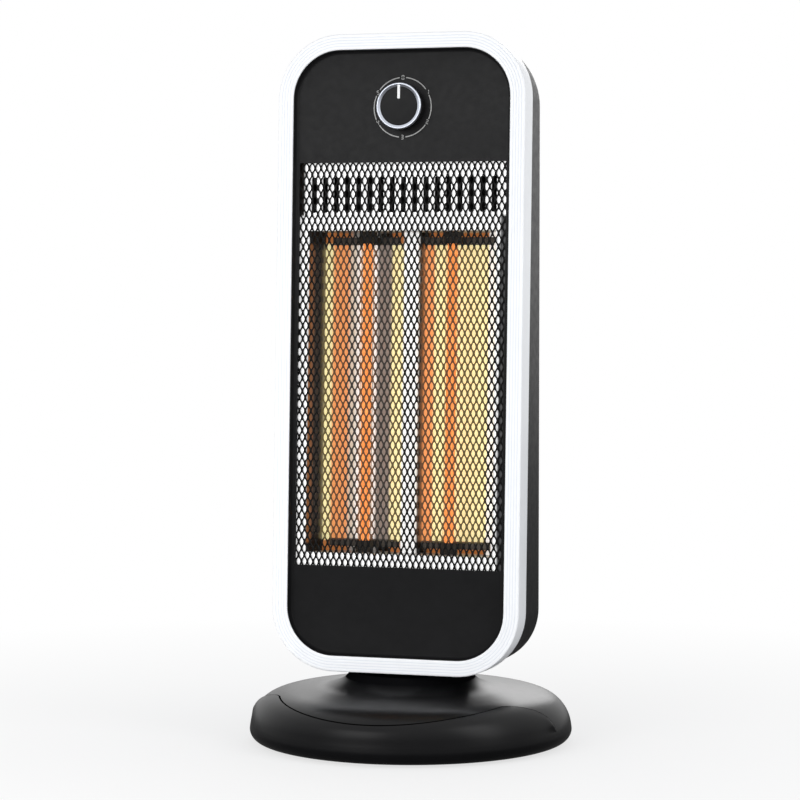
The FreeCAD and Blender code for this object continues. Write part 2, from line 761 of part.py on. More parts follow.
def diamond(across, up, depth, half_width, half_height):
    """A closed diamond in the plane of the grille."""
    corners = [(half_width, 0), (0, half_height), (-half_width, 0), (0, -half_height)]
    points = [Vector(across + right, depth, up + rise) for right, rise in corners]
    return Part.makePolygon(points + points[:1])


def make_grille():
    """Expanded metal: a sheet with staggered diamond cells between strands of one width."""
    half_wide = size("window_width / 2")
    low = size("window_bottom")
    tall = size("window_height")
    overlap = size("grille_overlap")
    depth = size("panel_back")
    wide_pitch = size("cell_width")
    tall_pitch = size("cell_height")
    span = 1 / math.hypot(2 / wide_pitch, 2 / tall_pitch)
    share = 1 - size("strand_width") / 2 / span
    columns = int(2 * half_wide / wide_pitch)
    rows = int(2 * tall / tall_pitch) - 1
    sheet_corners = [
        Vector(-half_wide - overlap, depth, low - overlap),
        Vector(half_wide + overlap, depth, low - overlap),
        Vector(half_wide + overlap, depth, low + tall + overlap),
        Vector(-half_wide - overlap, depth, low + tall + overlap),
    ]
    wires = [Part.makePolygon(sheet_corners + sheet_corners[:1])]
    for row in range(rows):
        count = columns - row % 2
        up = low + tall / 2 + (row - (rows - 1) / 2) * tall_pitch / 2
        for column in range(count):
            across = (column - (count - 1) / 2) * wide_pitch
            wires.append(diamond(across, up, depth, wide_pitch / 2 * share, tall_pitch / 2 * share))
    face = Part.makeFace(Part.makeCompound(wires), "Part::FaceMakerBullseye")
    part = doc.addObject("Part::Feature", "grille")
    part.Label = "grille"
    part.Shape = face.extrude(Vector(0, size("grille_thickness"), 0))
    nodes.append(part)
    lean(part)


def make_reflector():
    """One bent sheet with two round-backed bays, a flat ridge between them and a flange each side."""
    part = new_body("reflector")
    mouth = "bay_mouth / 2"
    back = "bay_back_width / 2"
    ridge = "ridge_width / 2"
    front = "reflector_front"
    rear = SHIELD_FRONT
    behind = "bay_wall_depth + reflector_sheet"
    section = new_sketch(part, "XY", "reflector_bottom")
    outline(section, [
        (f"-{SHIELD_SIDE}", front),
        (f"-{mouth}", front),
        (f"-{back}", "bay_wall_depth", "bay_round", -1),
        (f"-{ridge}", "bay_wall_depth"),
        (ridge, "bay_wall_depth", "bay_round", -1),
        (back, "bay_wall_depth"),
        (mouth, front),
        (SHIELD_SIDE, front),
        (SHIELD_SIDE, rear),
        (f"{mouth} + reflector_sheet", rear),
        (f"{back} + reflector_sheet", "bay_wall_depth", "bay_round + reflector_sheet", 1),
        (f"{ridge} - reflector_sheet", behind),
        (f"-{ridge} + reflector_sheet", behind, "bay_round + reflector_sheet", 1),
        (f"-{back} - reflector_sheet", "bay_wall_depth"),
        (f"-{mouth} - reflector_sheet", rear),
        (f"-{SHIELD_SIDE}", rear),
    ])
    pad(part, section, "reflector_height")
    lean(part)


def make_vent_plate():
    part = new_body("vent_plate")
    sketch = new_sketch(part, "XZ", "reflector_front")
    top = "shield_bottom + shield_height"
    box_outline(sketch, f"-{SHIELD_SIDE}", SHIELD_SIDE, f"{REFLECTOR_TOP} + sheet_fit", top)
    for slot in range(VENT_SLOTS):
        middle = f"vent_slot_pitch * {slot - (VENT_SLOTS - 1) / 2}"
        box_outline(
            sketch,
            f"{middle} - vent_slot_width / 2", f"{middle} + vent_slot_width / 2",
            "vent_slot_bottom", "vent_slot_bottom + vent_slot_height",
        )
    pad(part, sketch, "reflector_sheet")
    lean(part)


def make_sill_plate():
    """A flat bright plate that closes the window below the heating bays."""
    part = new_body("sill_plate")
    sketch = new_sketch(part, "XZ", "reflector_front")
    box_outline(sketch, f"-{SHIELD_SIDE}", SHIELD_SIDE, "shield_bottom", "reflector_bottom - sheet_fit")
    pad(part, sketch, "reflector_sheet")
    lean(part)


def make_tube_straps(label, floor):
    """A dark steel strap across each bay, close behind the end of its tube."""
    part = new_body(label)
    front = "(tube_depth + cap_diameter / 2 + strap_gap)"
    rear = f"({front} + strap_sheet)"
    arc_centre = "(bay_wall_depth + bay_sag - bay_round)"
    half = f"(sqrt(bay_round^2 - ({rear} - {arc_centre})^2) - sheet_fit)"
    sketch = new_sketch(part, "XY", floor)
    for sign in ("-", ""):
        middle = f"{sign}(bay_back_width + ridge_width) / 4"
        box_outline(sketch, f"{middle} - {half}", f"{middle} + {half}", front, rear)
    pad(part, sketch, "strap_height")
    lean(part)


def shield_hole_places():
    """Where the casing's screws meet the shield's back, in the head's front frame."""
    places = []
    for height in ("cover_boss_low", "cover_boss_high"):
        up = f"({height} + shield_back * sin(front_tilt)) / cos(front_tilt)"
        places.append(("-cover_boss_spacing / 2", up))
        places.append(("cover_boss_spacing / 2", up))
    return places


def make_heat_shield():
    part = new_body("heat_shield")
    inside = f"{SHIELD_SIDE} - shield_sheet"
    section = new_sketch(part, "XY", "shield_bottom")
    outline(section, [
        (f"-{SHIELD_SIDE}", SHIELD_FRONT),
        (f"-({inside})", SHIELD_FRONT),
        (f"-({inside})", "shield_back - shield_sheet"),
        (inside, "shield_back - shield_sheet"),
        (inside, SHIELD_FRONT),
        (SHIELD_SIDE, SHIELD_FRONT),
        (SHIELD_SIDE, "shield_back"),
        (f"-{SHIELD_SIDE}", "shield_back"),
    ])
    pad(part, section, "shield_height")
    holes = new_sketch(part, "XZ", "shield_back - shield_sheet")
    circles(holes, shield_hole_places(), "screw_diameter + 2 * screw_room")
    pocket(part, holes, "shield_sheet")
    lean(part)


def make_end_plate(label, floor):
    """A cross plate between the shield's walls, which holds one end of both tubes."""
    part = new_body(label)
    side = f"({SHIELD_SIDE} - shield_sheet - sheet_fit)"
    sketch = new_sketch(part, "XY", floor)
    box_outline(sketch, f"-{side}", side, SHIELD_FRONT, "shield_back - shield_sheet")
    circles(sketch, TUBE_PLACES, "cap_diameter + 2 * cap_fit")
    pad(part, sketch, "shield_sheet")
    lean(part)


def make_end_caps(label, floor, socket_floor):
    """Ceramic caps, each with a socket for the end of a tube."""
    part = new_body(label)
    disc(part, floor, "cap_length", TUBE_PLACES, "cap_diameter")
    sockets = new_sketch(part, "XY", socket_floor)
    circles(sockets, TUBE_PLACES, "tube_diameter + 2 * cap_fit")
    pocket(part, sockets, "cap_socket")
    lean(part)


def make_heating_tube(side, place):
    tube = new_body(f"quartz_tube_{side}")
    disc(tube, "tube_bottom", "tube_length", [place], "tube_diameter", "tube_diameter - 2 * tube_wall")
    lean(tube)
    element = new_body(f"carbon_element_{side}")
    ribbon = new_sketch(element, "XY", "tube_bottom")
    across, depth = place
    box_outline(
        ribbon,
        f"{across} - element_width / 2", f"{across} + element_width / 2",
        f"{depth} - element_thickness / 2", f"{depth} + element_thickness / 2",
    )
    pad(element, ribbon, "tube_length")
    lean(element)


def lean_line(height, depth):
    """How far back the head's tilted plane at a depth lies, at a height above the head's lower edge."""
    return f"(-front_offset + ({depth}) / cos(front_tilt) + ({height}) * tan(front_tilt))"


def boss_front(height):
    return f"({lean_line(height, 'shield_back')} + cover_boss_gap)"


def boss_places(height):
    up = f"{HEAD_BOTTOM} + {height}"
    return [("-cover_boss_spacing / 2", up), ("cover_boss_spacing / 2", up)]


def make_rear_cover():
    """A deep shell with an upright back, cut off at the front along the leaning bezel."""
    part = new_body("rear_cover")
    cover_top = f"{HEAD_BOTTOM} + head_height * cos(front_tilt) - cover_inset"
    side = "(head_width / 2 - cover_inset)"
    block = new_sketch(part, "XZ", "-front_offset")
    rounded_outline(block, f"-{side}", side, COVER_BOTTOM, cover_top, "(head_corner - cover_inset)")
    solid = pad(part, block, "front_offset + cover_rear")
    rear = size("cover_rear") - TOLERANCE
    fillet(part, solid, "cover_rear_round", lambda edge: edge.BoundBox.YMin > rear)
    front = new_sketch(part, "YZ", "-head_width / 2")
    beyond = "-front_offset - bezel_depth"
    above = f"{HEAD_BOTTOM} + head_height"
    outline(front, [
        (beyond, "0"),
        (lean_line(f"-{HEAD_BOTTOM}", "bezel_depth"), "0"),
        (lean_line("head_height", "bezel_depth"), above),
        (beyond, above),
    ])
    cut = pocket(part, front, "head_width")
    hollow = part.newObject("PartDesign::Thickness", "rear_cover_hollow")
    faces = enumerate(cut.Shape.Faces, start=1)
    open_face = min(faces, key=lambda pair: pair[1].CenterOfMass.y)
    hollow.Base = (cut, [f"Face{open_face[0]}"])
    hollow.Reversed = True
    bind(hollow, "Value", "cover_wall")
    doc.recompute()
    for height in ("cover_boss_low", "cover_boss_high"):
        start = boss_front(height)
        bosses = new_sketch(part, "XZ", start)
        circles(bosses, boss_places(height), "cover_boss_diameter")
        pad(part, bosses, f"cover_rear - cover_wall / 2 - {start}")
        holes = new_sketch(part, "XZ", start)
        circles(holes, boss_places(height), "screw_diameter")
        pocket(part, holes, f"cover_rear - {start}")
        counterbores = new_sketch(part, "XZ", "cover_rear - counterbore_depth")
        circles(counterbores, boss_places(height), "counterbore_diameter")
        pocket(part, counterbores, "counterbore_depth")
    for group in ("cover_vent_low", "cover_vent_high"):
        slot = new_sketch(part, "XZ", "cover_rear - 2 * cover_wall")
        floor = f"{HEAD_BOTTOM} + {group}"
        rounded_outline(
            slot, "-cover_vent_length / 2", "cover_vent_length / 2",
            floor, f"{floor} + cover_vent_height", "cover_vent_height / 3",
        )
        repeat_up(part, pocket(part, slot, "2 * cover_wall"), "cover_vent_pitch", COVER_VENTS)
    pivot_holes = new_sketch(part, "XY", COVER_BOTTOM)
    circles(pivot_holes, PIVOT_SCREW_PLACES, "screw_diameter")
    circles(pivot_holes, AXIS, "pivot_bore")
    pocket(part, pivot_holes, "cover_wall")


def make_cover_screws():
    part = new_body("cover_screws")
    for height in ("cover_boss_low", "cover_boss_high"):
        tip = f"({boss_front(height)} - screw_tip)"
        shanks = new_sketch(part, "XZ", tip)
        circles(shanks, boss_places(height), "screw_diameter")
        pad(part, shanks, f"cover_rear - counterbore_depth - {tip}")
        heads = new_sketch(part, "XZ", "cover_rear - counterbore_depth")
        circles(heads, boss_places(height), "screw_head_diameter")
        pad(part, heads, "screw_head_height")


def make_knob():
    """Knob, bright ring and pointer, turned round an axis that stands square on the panel."""
    rim = "knob_diameter / 2"
    core = f"{rim} - knob_ring_width"
    seat = "knob_gap + knob_length - knob_ring_height"
    face = "knob_gap + knob_length - knob_face_recess"
    bore = "switch_shaft_diameter / 2"
    bore_end = "knob_gap + knob_grip"
    knob = new_body("knob")
    revolve(knob, [
        (bore, "knob_gap"),
        (rim, "knob_gap"),
        (rim, seat),
        (core, seat),
        (core, face),
        ("0", face),
        ("0", bore_end),
        (bore, bore_end),
    ])
    ring = new_body("knob_ring")
    top = "knob_gap + knob_length"
    ring_round = "knob_ring_width / 2"
    revolve(ring, [
        (core, seat),
        (rim, seat),
        (rim, f"{top} - {ring_round}", ring_round, 1),
        (f"{rim} - {ring_round}", top),
        (core, top),
    ])
    pointer = new_body("knob_pointer")
    line = new_sketch(pointer, "XY", face)
    end = f"{core} - sheet_fit"
    box_outline(line, "-pointer_width / 2", "pointer_width / 2", f"{end} - pointer_length", end)
    pad(pointer, line, "pointer_thickness")
    shaft = new_body("switch_shaft")
    shaft_floor = "-panel_thickness - switch_shaft_reach"
    disc(shaft, shaft_floor, f"{bore_end} - ({shaft_floor})", AXIS, "switch_shaft_diameter")
    for part in (knob, ring, pointer, shaft):
        lean(part, "panel_recess", "knob_height", "90")


def make_rotary_switch():
    part = new_body("rotary_switch")
    case = new_sketch(part, "XZ", "panel_back")
    half = "switch_width / 2"
    box_outline(case, f"-{half}", half, f"knob_height - {half}", f"knob_height + {half}")
    pad(part, case, "switch_depth")
    bore = new_sketch(part, "XZ", "panel_back")
    circle(bore, "0", "knob_height", "switch_shaft_diameter + 2 * running_clearance")
    pocket(part, bore, "switch_shaft_reach + swivel_gap")
    lean(part)


def make_thermal_cutout():
    part = new_body("thermal_cutout")
    sketch = new_sketch(part, "XZ", "shield_back")
    circle(sketch, "0", "cutout_height", "cutout_diameter")
    pad(part, sketch, "cutout_thickness")
    lean(part)


def make_terminal_block():
    part = new_body("terminal_block")
    sketch = new_sketch(part, "XZ", "shield_back")
    top = "terminal_bottom + terminal_height"
    box_outline(sketch, "-terminal_width / 2", "terminal_width / 2", "terminal_bottom", top)
    pad(part, sketch, "terminal_depth")
    lean(part)


make_base_cover()
make_base_front_lip()
make_base_plate()
make_base_screws()
make_rubber_feet()
make_ballast_plate()
make_tip_over_switch()
make_tip_over_plunger()
make_plunger_spring()
make_cord_gland()
make_oscillation_motor()
make_crank()
make_oscillation_arm()
make_pivot()
make_front_bezel()
make_front_panel()
make_grille()
make_reflector()
make_vent_plate()
make_sill_plate()
make_tube_straps("lower_tube_straps", "reflector_bottom + strap_end")
make_tube_straps("upper_tube_straps", f"{REFLECTOR_TOP} - strap_end - strap_height")
make_heat_shield()
make_end_plate("lower_end_plate", "reflector_bottom - shield_sheet")
make_end_plate("upper_end_plate", REFLECTOR_TOP)
make_end_caps("lower_end_caps", "tube_bottom + cap_socket - cap_length", "tube_bottom")
make_end_caps("upper_end_caps", f"{TUBE_TOP} - cap_socket", f"{TUBE_TOP} - cap_socket")
make_heating_tube("left", TUBE_PLACES[0])
make_heating_tube("right", TUBE_PLACES[1])
make_rear_cover()
make_cover_screws()
make_knob()
make_rotary_switch()
make_thermal_cutout()
make_terminal_block()
doc.recompute()

for item in doc.Objects:
    if "Invalid" in item.State or "Error" in item.State:
        raise RuntimeError(f"{item.Label}: {item.State}")
for part in nodes:
    if part.Shape.isNull() or not part.Shape.isValid():
        raise RuntimeError(f"{part.Label}: the shape is not a valid solid")

os.makedirs("parts", exist_ok=True)
for part in nodes:
    part.Shape.exportStep(f"parts/{part.Label}.step")
    print(part.Label, len(part.Shape.Solids), round(part.Shape.Volume, 1))
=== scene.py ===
# %% [markdown]
# # A carbon heater on a round swivelling base
# The CAD frame gives the real sizes and the moving bodies. This lesson dresses it: smooth
# surfaces worked out with numpy stand for the moulded and bent pieces that are seen, and the
# pieces inside keep their CAD solids with a better finish. All lengths in the formulas are
# millimetres, and one factor turns them into Blender's metres when a mesh is filled.

import math

import bmesh
import bpy
import numpy as np
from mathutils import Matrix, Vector
from mathutils.geometry import delaunay_2d_cdt


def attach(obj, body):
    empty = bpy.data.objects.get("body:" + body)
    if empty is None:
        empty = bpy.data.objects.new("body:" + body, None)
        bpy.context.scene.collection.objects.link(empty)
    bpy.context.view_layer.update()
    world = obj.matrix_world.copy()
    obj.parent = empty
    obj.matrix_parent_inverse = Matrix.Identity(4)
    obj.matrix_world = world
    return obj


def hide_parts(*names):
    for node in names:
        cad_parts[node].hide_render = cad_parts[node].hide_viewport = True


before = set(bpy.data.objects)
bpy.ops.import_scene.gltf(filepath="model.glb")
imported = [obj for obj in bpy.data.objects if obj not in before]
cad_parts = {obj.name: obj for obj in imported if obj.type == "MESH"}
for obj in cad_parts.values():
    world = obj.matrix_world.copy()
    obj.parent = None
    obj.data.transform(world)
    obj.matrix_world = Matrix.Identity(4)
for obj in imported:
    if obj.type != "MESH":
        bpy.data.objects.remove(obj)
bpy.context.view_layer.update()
MM = 0.001
print("CAD nodes:", len(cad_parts))

# %% [markdown]
# ## The leaning front
# The head's front leans back by about two and a half degrees. Its pieces are drawn in the front's
# own frame, with x across, depth square to the front and up along it, and one function turns that
# frame into the object's. This is easier than turning objects, because every mesh has to keep its
# object at the origin.

# %% Frame of the front
TILT = math.radians(2.573)
FRONT = -47.1
HEAD_BOTTOM = 58.0


def points_of(*axes):
    """Coordinates side by side: one array for each axis becomes one array of points."""
    return np.stack(np.broadcast_arrays(*axes), axis=-1)


def lean(x, depth, up):
    """Front frame to object frame: depth and up are turned together about x by the tilt."""
    back = FRONT + depth * math.cos(TILT) + up * math.sin(TILT)
    height = HEAD_BOTTOM + up * math.cos(TILT) - depth * math.sin(TILT)
    return points_of(x, back, height)


def lean_line(depth, height):
    """How far back the tilted plane at a depth lies, at a height above the floor."""
    return FRONT + depth / math.cos(TILT) + (height - HEAD_BOTTOM) * math.tan(TILT)


def at_depth(depth):
    """A sheet that leans with the front: (x, up) is set at one depth."""
    return lambda x, up: lean(x, depth, up)


def upright(back):
    """A sheet square to the y axis: (x, up) is set at one distance to the back."""
    return lambda x, up: points_of(x, back, up)


# %% [markdown]
# ## From arrays to meshes
# Each surface is a grid of points, and neighbouring points make quads. A flat sheet with holes can't
# be one grid, so its outlines are filled by a constrained triangulation, which keeps all their points
# and meets the walls without a gap. Meeting points are then merged and the normals turned outwards.

# %% Surface helpers
MERGE = 1e-6
FILL_MERGE = 1e-5
INSIDE = 1
made = []


def grid_faces(rows, columns, wrap_rows=False, wrap_columns=False):
    """Quads of a grid stored row by row: each joins a point to the next in its row and column."""
    row = np.arange(rows if wrap_rows else rows - 1)
    column = np.arange(columns if wrap_columns else columns - 1)
    row, column = np.meshgrid(row, column, indexing="ij")
    next_row = (row + 1) % rows * columns
    next_column = (column + 1) % columns
    row = row * columns
    quads = [row + column, row + next_column, next_row + next_column, next_row + column]
    return np.stack(quads, axis=-1).reshape(-1, 4)


def sheet_of(points, wrap_rows=False):
    """A grid that closes along its columns: points, quads, and True because it is shaded smooth."""
    rows, columns = points.shape[:2]
    return points.reshape(-1, 3), grid_faces(rows, columns, wrap_rows, True), True


def filled(loops, place):
    """A flat sheet inside the first loop and outside the others, set in space by place(a, b)."""
    flat = np.concatenate(loops)
    starts = np.cumsum([0] + [len(loop) for loop in loops])
    rings = [list(range(start, end)) for start, end in zip(starts, starts[1:])]
    flat = [Vector(point) for point in flat]
    points, _, faces, _, _, owners = delaunay_2d_cdt(flat, [], rings, INSIDE, FILL_MERGE)
    faces = [face for face, owner in zip(faces, owners) if owner == [0]]
    return place(*np.array([tuple(point) for point in points]).T), faces, False


def walls(loops, front, back):
    """Strips that join each loop on the front sheet to the same loop on the back sheet."""
    return [sheet_of(np.stack([front(*loop.T), back(*loop.T)])) for loop in loops]


def capped(rings):
    """A tube through rings of points, closed by one face at each end."""
    ends = [(ring, [list(range(len(ring)))], False) for ring in (rings[0], rings[-1])]
    return [sheet_of(rings)] + ends


def plate(loops, front, back):
    """A plate with holes: a front sheet, a back sheet and the walls of every outline."""
    return [filled(loops, front), filled(loops, back)] + walls(loops, front, back)


def settle(shell, mesh, sharp):
    """Write an edited shell back to its mesh, mark the sharp edges and say whether it is closed."""
    shell.to_mesh(mesh)
    open_edges = sum(edge.is_boundary for edge in shell.edges)
    shell.free()
    mesh.set_sharp_from_angle(angle=math.radians(sharp))
    print(mesh.name, "faces:", len(mesh.polygons), "open edges:", open_edges)


def closed_mesh(name, surfaces, sharp):
    """Join surfaces into one mesh, merge what meets and turn the normals outwards."""
    points = np.concatenate([surface[0] for surface in surfaces]) * MM
    starts = np.cumsum([0] + [len(surface[0]) for surface in surfaces])
    faces = [
        [int(start + corner) for corner in face]
        for start, surface in zip(starts, surfaces)
        for face in surface[1]
    ]
    mesh = bpy.data.meshes.new(name)
    mesh.from_pydata(points, [], faces)
    smooth = np.concatenate([np.full(len(surface[1]), surface[2]) for surface in surfaces])
    mesh.polygons.foreach_set("use_smooth", smooth)
    shell = bmesh.new()
    shell.from_mesh(mesh)
    bmesh.ops.remove_doubles(shell, verts=shell.verts, dist=MERGE)
    bmesh.ops.dissolve_degenerate(shell, edges=shell.edges, dist=MERGE)
    bmesh.ops.recalc_face_normals(shell, faces=shell.faces)
    settle(shell, mesh, sharp)
    return mesh


def add_object(name, data):
    """A new object at the origin, in the scene's own collection."""
    added = bpy.data.objects.new(name, data)
    bpy.context.scene.collection.objects.link(added)
    return added


def take_out(mesh, tool, sharp):
    """Cut one closed mesh out of another with an exact boolean, and keep the rest in the first."""
    whole, cutter = [add_object(part.name, part) for part in (mesh, tool)]
    cut = whole.modifiers.new("cut", "BOOLEAN")
    cut.operation, cut.solver, cut.object = "DIFFERENCE", "EXACT", cutter
    shell = bmesh.new()
    shell.from_mesh(whole.evaluated_get(bpy.context.evaluated_depsgraph_get()).data)
    settle(shell, mesh, sharp)
    for holder in (whole, cutter):
        bpy.data.objects.remove(holder)
    bpy.data.meshes.remove(tool)


def make_piece(name, surfaces, body, slot, nodes=(), sharp=35, finish=None, cut=()):
    """Make one closed mesh of surfaces, take a cut out of it, and let it ride on a body."""
    mesh = closed_mesh(name, surfaces, sharp)
    if cut:
        take_out(mesh, closed_mesh(name + "_cut", cut, sharp), sharp)
    piece = add_object(name, mesh)
    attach(piece, body)
    if nodes:
        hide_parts(*nodes)
    made.append((piece, finish or slot))


# %% [markdown]
# ## Arcs and rounded outlines
# The moulded pieces share one outline, a tall rectangle with round corners. The corner centres stay
# where they are when the outline is drawn in, and only the corner radius shrinks, so a whole family
# of parallel outlines comes from one formula.

# %% Outline helpers
CORNER_POINTS = 20
SIDE_SHARE = 0.45


def arc(centre_a, centre_b, radius, start, end, count):
    """Points on a circle from one angle to another, in degrees."""
    turn = np.radians(np.linspace(start, end, count))
    return points_of(centre_a + radius * np.cos(turn), centre_b + radius * np.sin(turn))


def full_turn(count):
    """Angles once round, without the repeated last one."""
    return np.linspace(0, 2 * math.pi, count, endpoint=False)


def turned(profile, place, count, wrap_rows=True):
    """Turn a (radius, along) profile once round an axis that place(a, b, along) sets in space."""
    turn = full_turn(count)
    radius, along = profile[:, 0][:, None], profile[:, 1][:, None]
    return sheet_of(place(radius * np.cos(turn), radius * np.sin(turn), along), wrap_rows)


def rounded_loop(half_width, low, high, corner, inset=0.0, count=CORNER_POINTS, foot=None):
    """Corner centre plus a radius times the direction, in four quarter turns; the foot may differ."""
    inset = np.asarray(inset, dtype=float)[..., None]
    turn = np.radians(np.concatenate([np.linspace(s, s + 90, count) for s in (0, 90, 180, 270)]))
    foot = corner if foot is None else foot
    corner = np.repeat([corner, corner, foot, foot], count)
    side = np.repeat([1, -1, -1, 1], count) * (half_width - corner)
    rise = np.repeat([high, high, low, low], count) + np.repeat([-1, -1, 1, 1], count) * corner
    return points_of(side + (corner - inset) * np.cos(turn), rise + (corner - inset) * np.sin(turn))


def circle_loop(centre_a, centre_b, radius, count=32):
    """A full circle without its repeated last point."""
    return arc(centre_a, centre_b, radius, 0, 360, count + 1)[:-1]


def smooth_steps(corners, radius, count=5):
    """Round each inner corner of an open profile by a quadratic curve from one side to the next."""
    corners = np.asarray(corners, dtype=float)
    before, at, after = corners[:-2], corners[1:-1], corners[2:]
    to_before, to_after = before - at, after - at
    near = np.linalg.norm(to_before, axis=1, keepdims=True)
    far = np.linalg.norm(to_after, axis=1, keepdims=True)
    cut = np.minimum(radius, SIDE_SHARE * np.minimum(near, far))
    start = (at + to_before / near * cut)[:, None]
    end = (at + to_after / far * cut)[:, None]
    t = np.linspace(0, 1, count)[None, :, None]
    curve = (1 - t) ** 2 * start + 2 * t * (1 - t) * at[:, None] + t ** 2 * end
    return np.concatenate([corners[:1], curve.reshape(-1, 2), corners[-1:]])


# %% [markdown]
# ## Front bezel
# The white frame is one moulding with a rounded outer edge and fine concentric steps. It could be an
# extrusion with cut grooves. Here its cross-section is carried round the outline, because then the
# steps keep their width round the corners. The floor of each step is a thin grey strip of its own:
# painted shade, for the shade that falls into the shallow grooves.

# %% Front bezel
HEAD_HALF, HEAD_HEIGHT, HEAD_CORNER = 98.0, 487.5, 49.0
BEZEL_WIDTH, BEZEL_LEDGE, BEZEL_DEPTH = 12.0, 2.0, 22.0
PANEL_FRONT, PANEL_BACK = 6.0, 9.0
BEZEL_LINES = (2.9, 5.05, 7.2, 9.35)
LINE_HALF, LINE_DEPTH, EDGE_ROUND = 0.35, 0.18, 1.6
# Section of the grey strip in each groove floor, which is painted shade.
GROOVE_SHADE_SECTION = np.array([(-0.22, 0.02), (0.22, 0.02), (0.22, 0.35), (-0.22, 0.35)])


def head_loop(inset):
    """The head's outline drawn in by an inset."""
    return rounded_loop(HEAD_HALF, 0.0, HEAD_HEIGHT, HEAD_CORNER, inset)


def head_surface(profile):
    """Each (inset, depth) of a profile becomes the head's outline at that inset and depth."""
    loops = head_loop(profile[:, 0])
    return lean(loops[..., 0], profile[:, 1][:, None], loops[..., 1])


grooves = [
    corner
    for line in BEZEL_LINES
    for corner in ((line - LINE_HALF, 0.0), (line, LINE_DEPTH), (line + LINE_HALF, 0.0))
]
bezel_inner = [(BEZEL_WIDTH, PANEL_BACK), (BEZEL_WIDTH, 0.0)]
bezel_outer = [(0.0, 0.0), (0.0, BEZEL_DEPTH)]
bezel_face = smooth_steps(bezel_inner + grooves[::-1] + bezel_outer, EDGE_ROUND)
ledge = BEZEL_WIDTH + BEZEL_LEDGE
bezel_back = np.array([(ledge, BEZEL_DEPTH), (ledge, PANEL_BACK)])
bezel_points = head_surface(np.concatenate([bezel_face, bezel_back]))
make_piece(
    "bezel_moulding", [sheet_of(bezel_points, True)],
    "head", "white_gloss_plastic", ["front_bezel"],
)
# Grey strips in the groove floors: painted shade of the grooves.
groove_shade_strips = [head_surface(GROOVE_SHADE_SECTION + np.array([line, 0.0])) for line in BEZEL_LINES]
make_piece(
    "bezel_groove_shade", [sheet_of(shade_strip, True) for shade_strip in groove_shade_strips],
    "head", "white_gloss_plastic", finish="groove_shade_grey",
)

# %% [markdown]
# ## Front panel
# The black panel lies in the bezel, 6 mm back, and its edge curves forward to line the bezel's opening,
# so a dark band shows inside the white frame. That cove is a profile carried round the outline, and the
# flat middle, with the heating window and the shaft hole, is a filled sheet that meets it.

# %% Front panel
WINDOW_HALF, WINDOW_LOW, WINDOW_HIGH = 82.3, 80.5, 389.8
KNOB_UP, SHAFT_HOLE, WINDOW_ROUND = 431.4, 5.0, 1.0
COVE_WIDTH, COVE_FRONT, COVE_EDGE, PANEL_PLAY = 3.0, 0.7, 0.6, 0.05

swing = np.linspace(0, math.pi / 2, 9)
cove = points_of(
    BEZEL_WIDTH + COVE_EDGE + (COVE_WIDTH - COVE_EDGE) * (1 - np.cos(swing)),
    COVE_FRONT + (PANEL_FRONT - COVE_FRONT) * np.sin(swing),
)
panel_side = BEZEL_WIDTH + PANEL_PLAY
panel_edge = np.concatenate([[(panel_side, PANEL_BACK), (panel_side, COVE_FRONT)], cove])
flat_loop, back_loop = head_loop(cove[-1, 0]), head_loop(panel_side)
panel_holes = [
    rounded_loop(WINDOW_HALF, WINDOW_LOW, WINDOW_HIGH, WINDOW_ROUND, count=4),
    circle_loop(0.0, KNOB_UP, SHAFT_HOLE),
]
panel_front, panel_rear = at_depth(PANEL_FRONT), at_depth(PANEL_BACK)
make_piece(
    "panel_moulding",
    [sheet_of(head_surface(panel_edge))]
    + [filled([flat_loop] + panel_holes, panel_front), filled([back_loop] + panel_holes, panel_rear)]
    + walls(panel_holes, panel_front, panel_rear),
    "head", "black_panel_plastic", ["front_panel"],
)

# %% [markdown]
# ## Grille
# The guard is expanded metal: a slit sheet pulled until its slits opened into pointed cells. Real
# strands catch the light and hide parts of the tubes as the eye moves, which an image of holes can't
# do. So each cell is a ring of quads between its diamond border and its rounded hole, and all cells
# are copies of one ring in staggered places. The rows run a little askew, as on a pulled sheet, and
# what passes the sheet's sides is pressed flat there.

# %% Grille
CELL_WIDE, CELL_TALL, FIRST_ROW = 4.7225, 10.105, 2.4
HOLE_WIDE, HOLE_TALL = 3.0, 6.15
GRILLE_FRONT, GRILLE_BACK = 9.05, 10.0
RIDGE_DROP = 0.35
SLANT, MESH_HALF = 0.0078, 84.0
EDGE_START, EDGE_SQUEEZE = 83.6, 0.09
CELL_POINTS, ROUNDNESS = 12, 0.55
COLUMN_REACH, LOWEST_ROW, TOP_ROW = 19, -1, 61

turn = full_turn(CELL_POINTS)
spread = np.abs(np.cos(turn)) + np.abs(np.sin(turn))
border = points_of(np.cos(turn) / spread * CELL_WIDE / 2, np.sin(turn) / spread * CELL_TALL / 2)
round_part = points_of(np.cos(turn) * HOLE_WIDE / 2, np.sin(turn) * HOLE_TALL / 2)
diamond_part = border * np.array([HOLE_WIDE / CELL_WIDE, HOLE_TALL / CELL_TALL])
hole = ROUNDNESS * round_part + (1 - ROUNDNESS) * diamond_part
ring_plan = np.stack([border, hole, hole, border])
ring_depth = np.array([
    GRILLE_FRONT, GRILLE_FRONT + RIDGE_DROP, GRILLE_BACK - RIDGE_DROP, GRILLE_BACK,
])

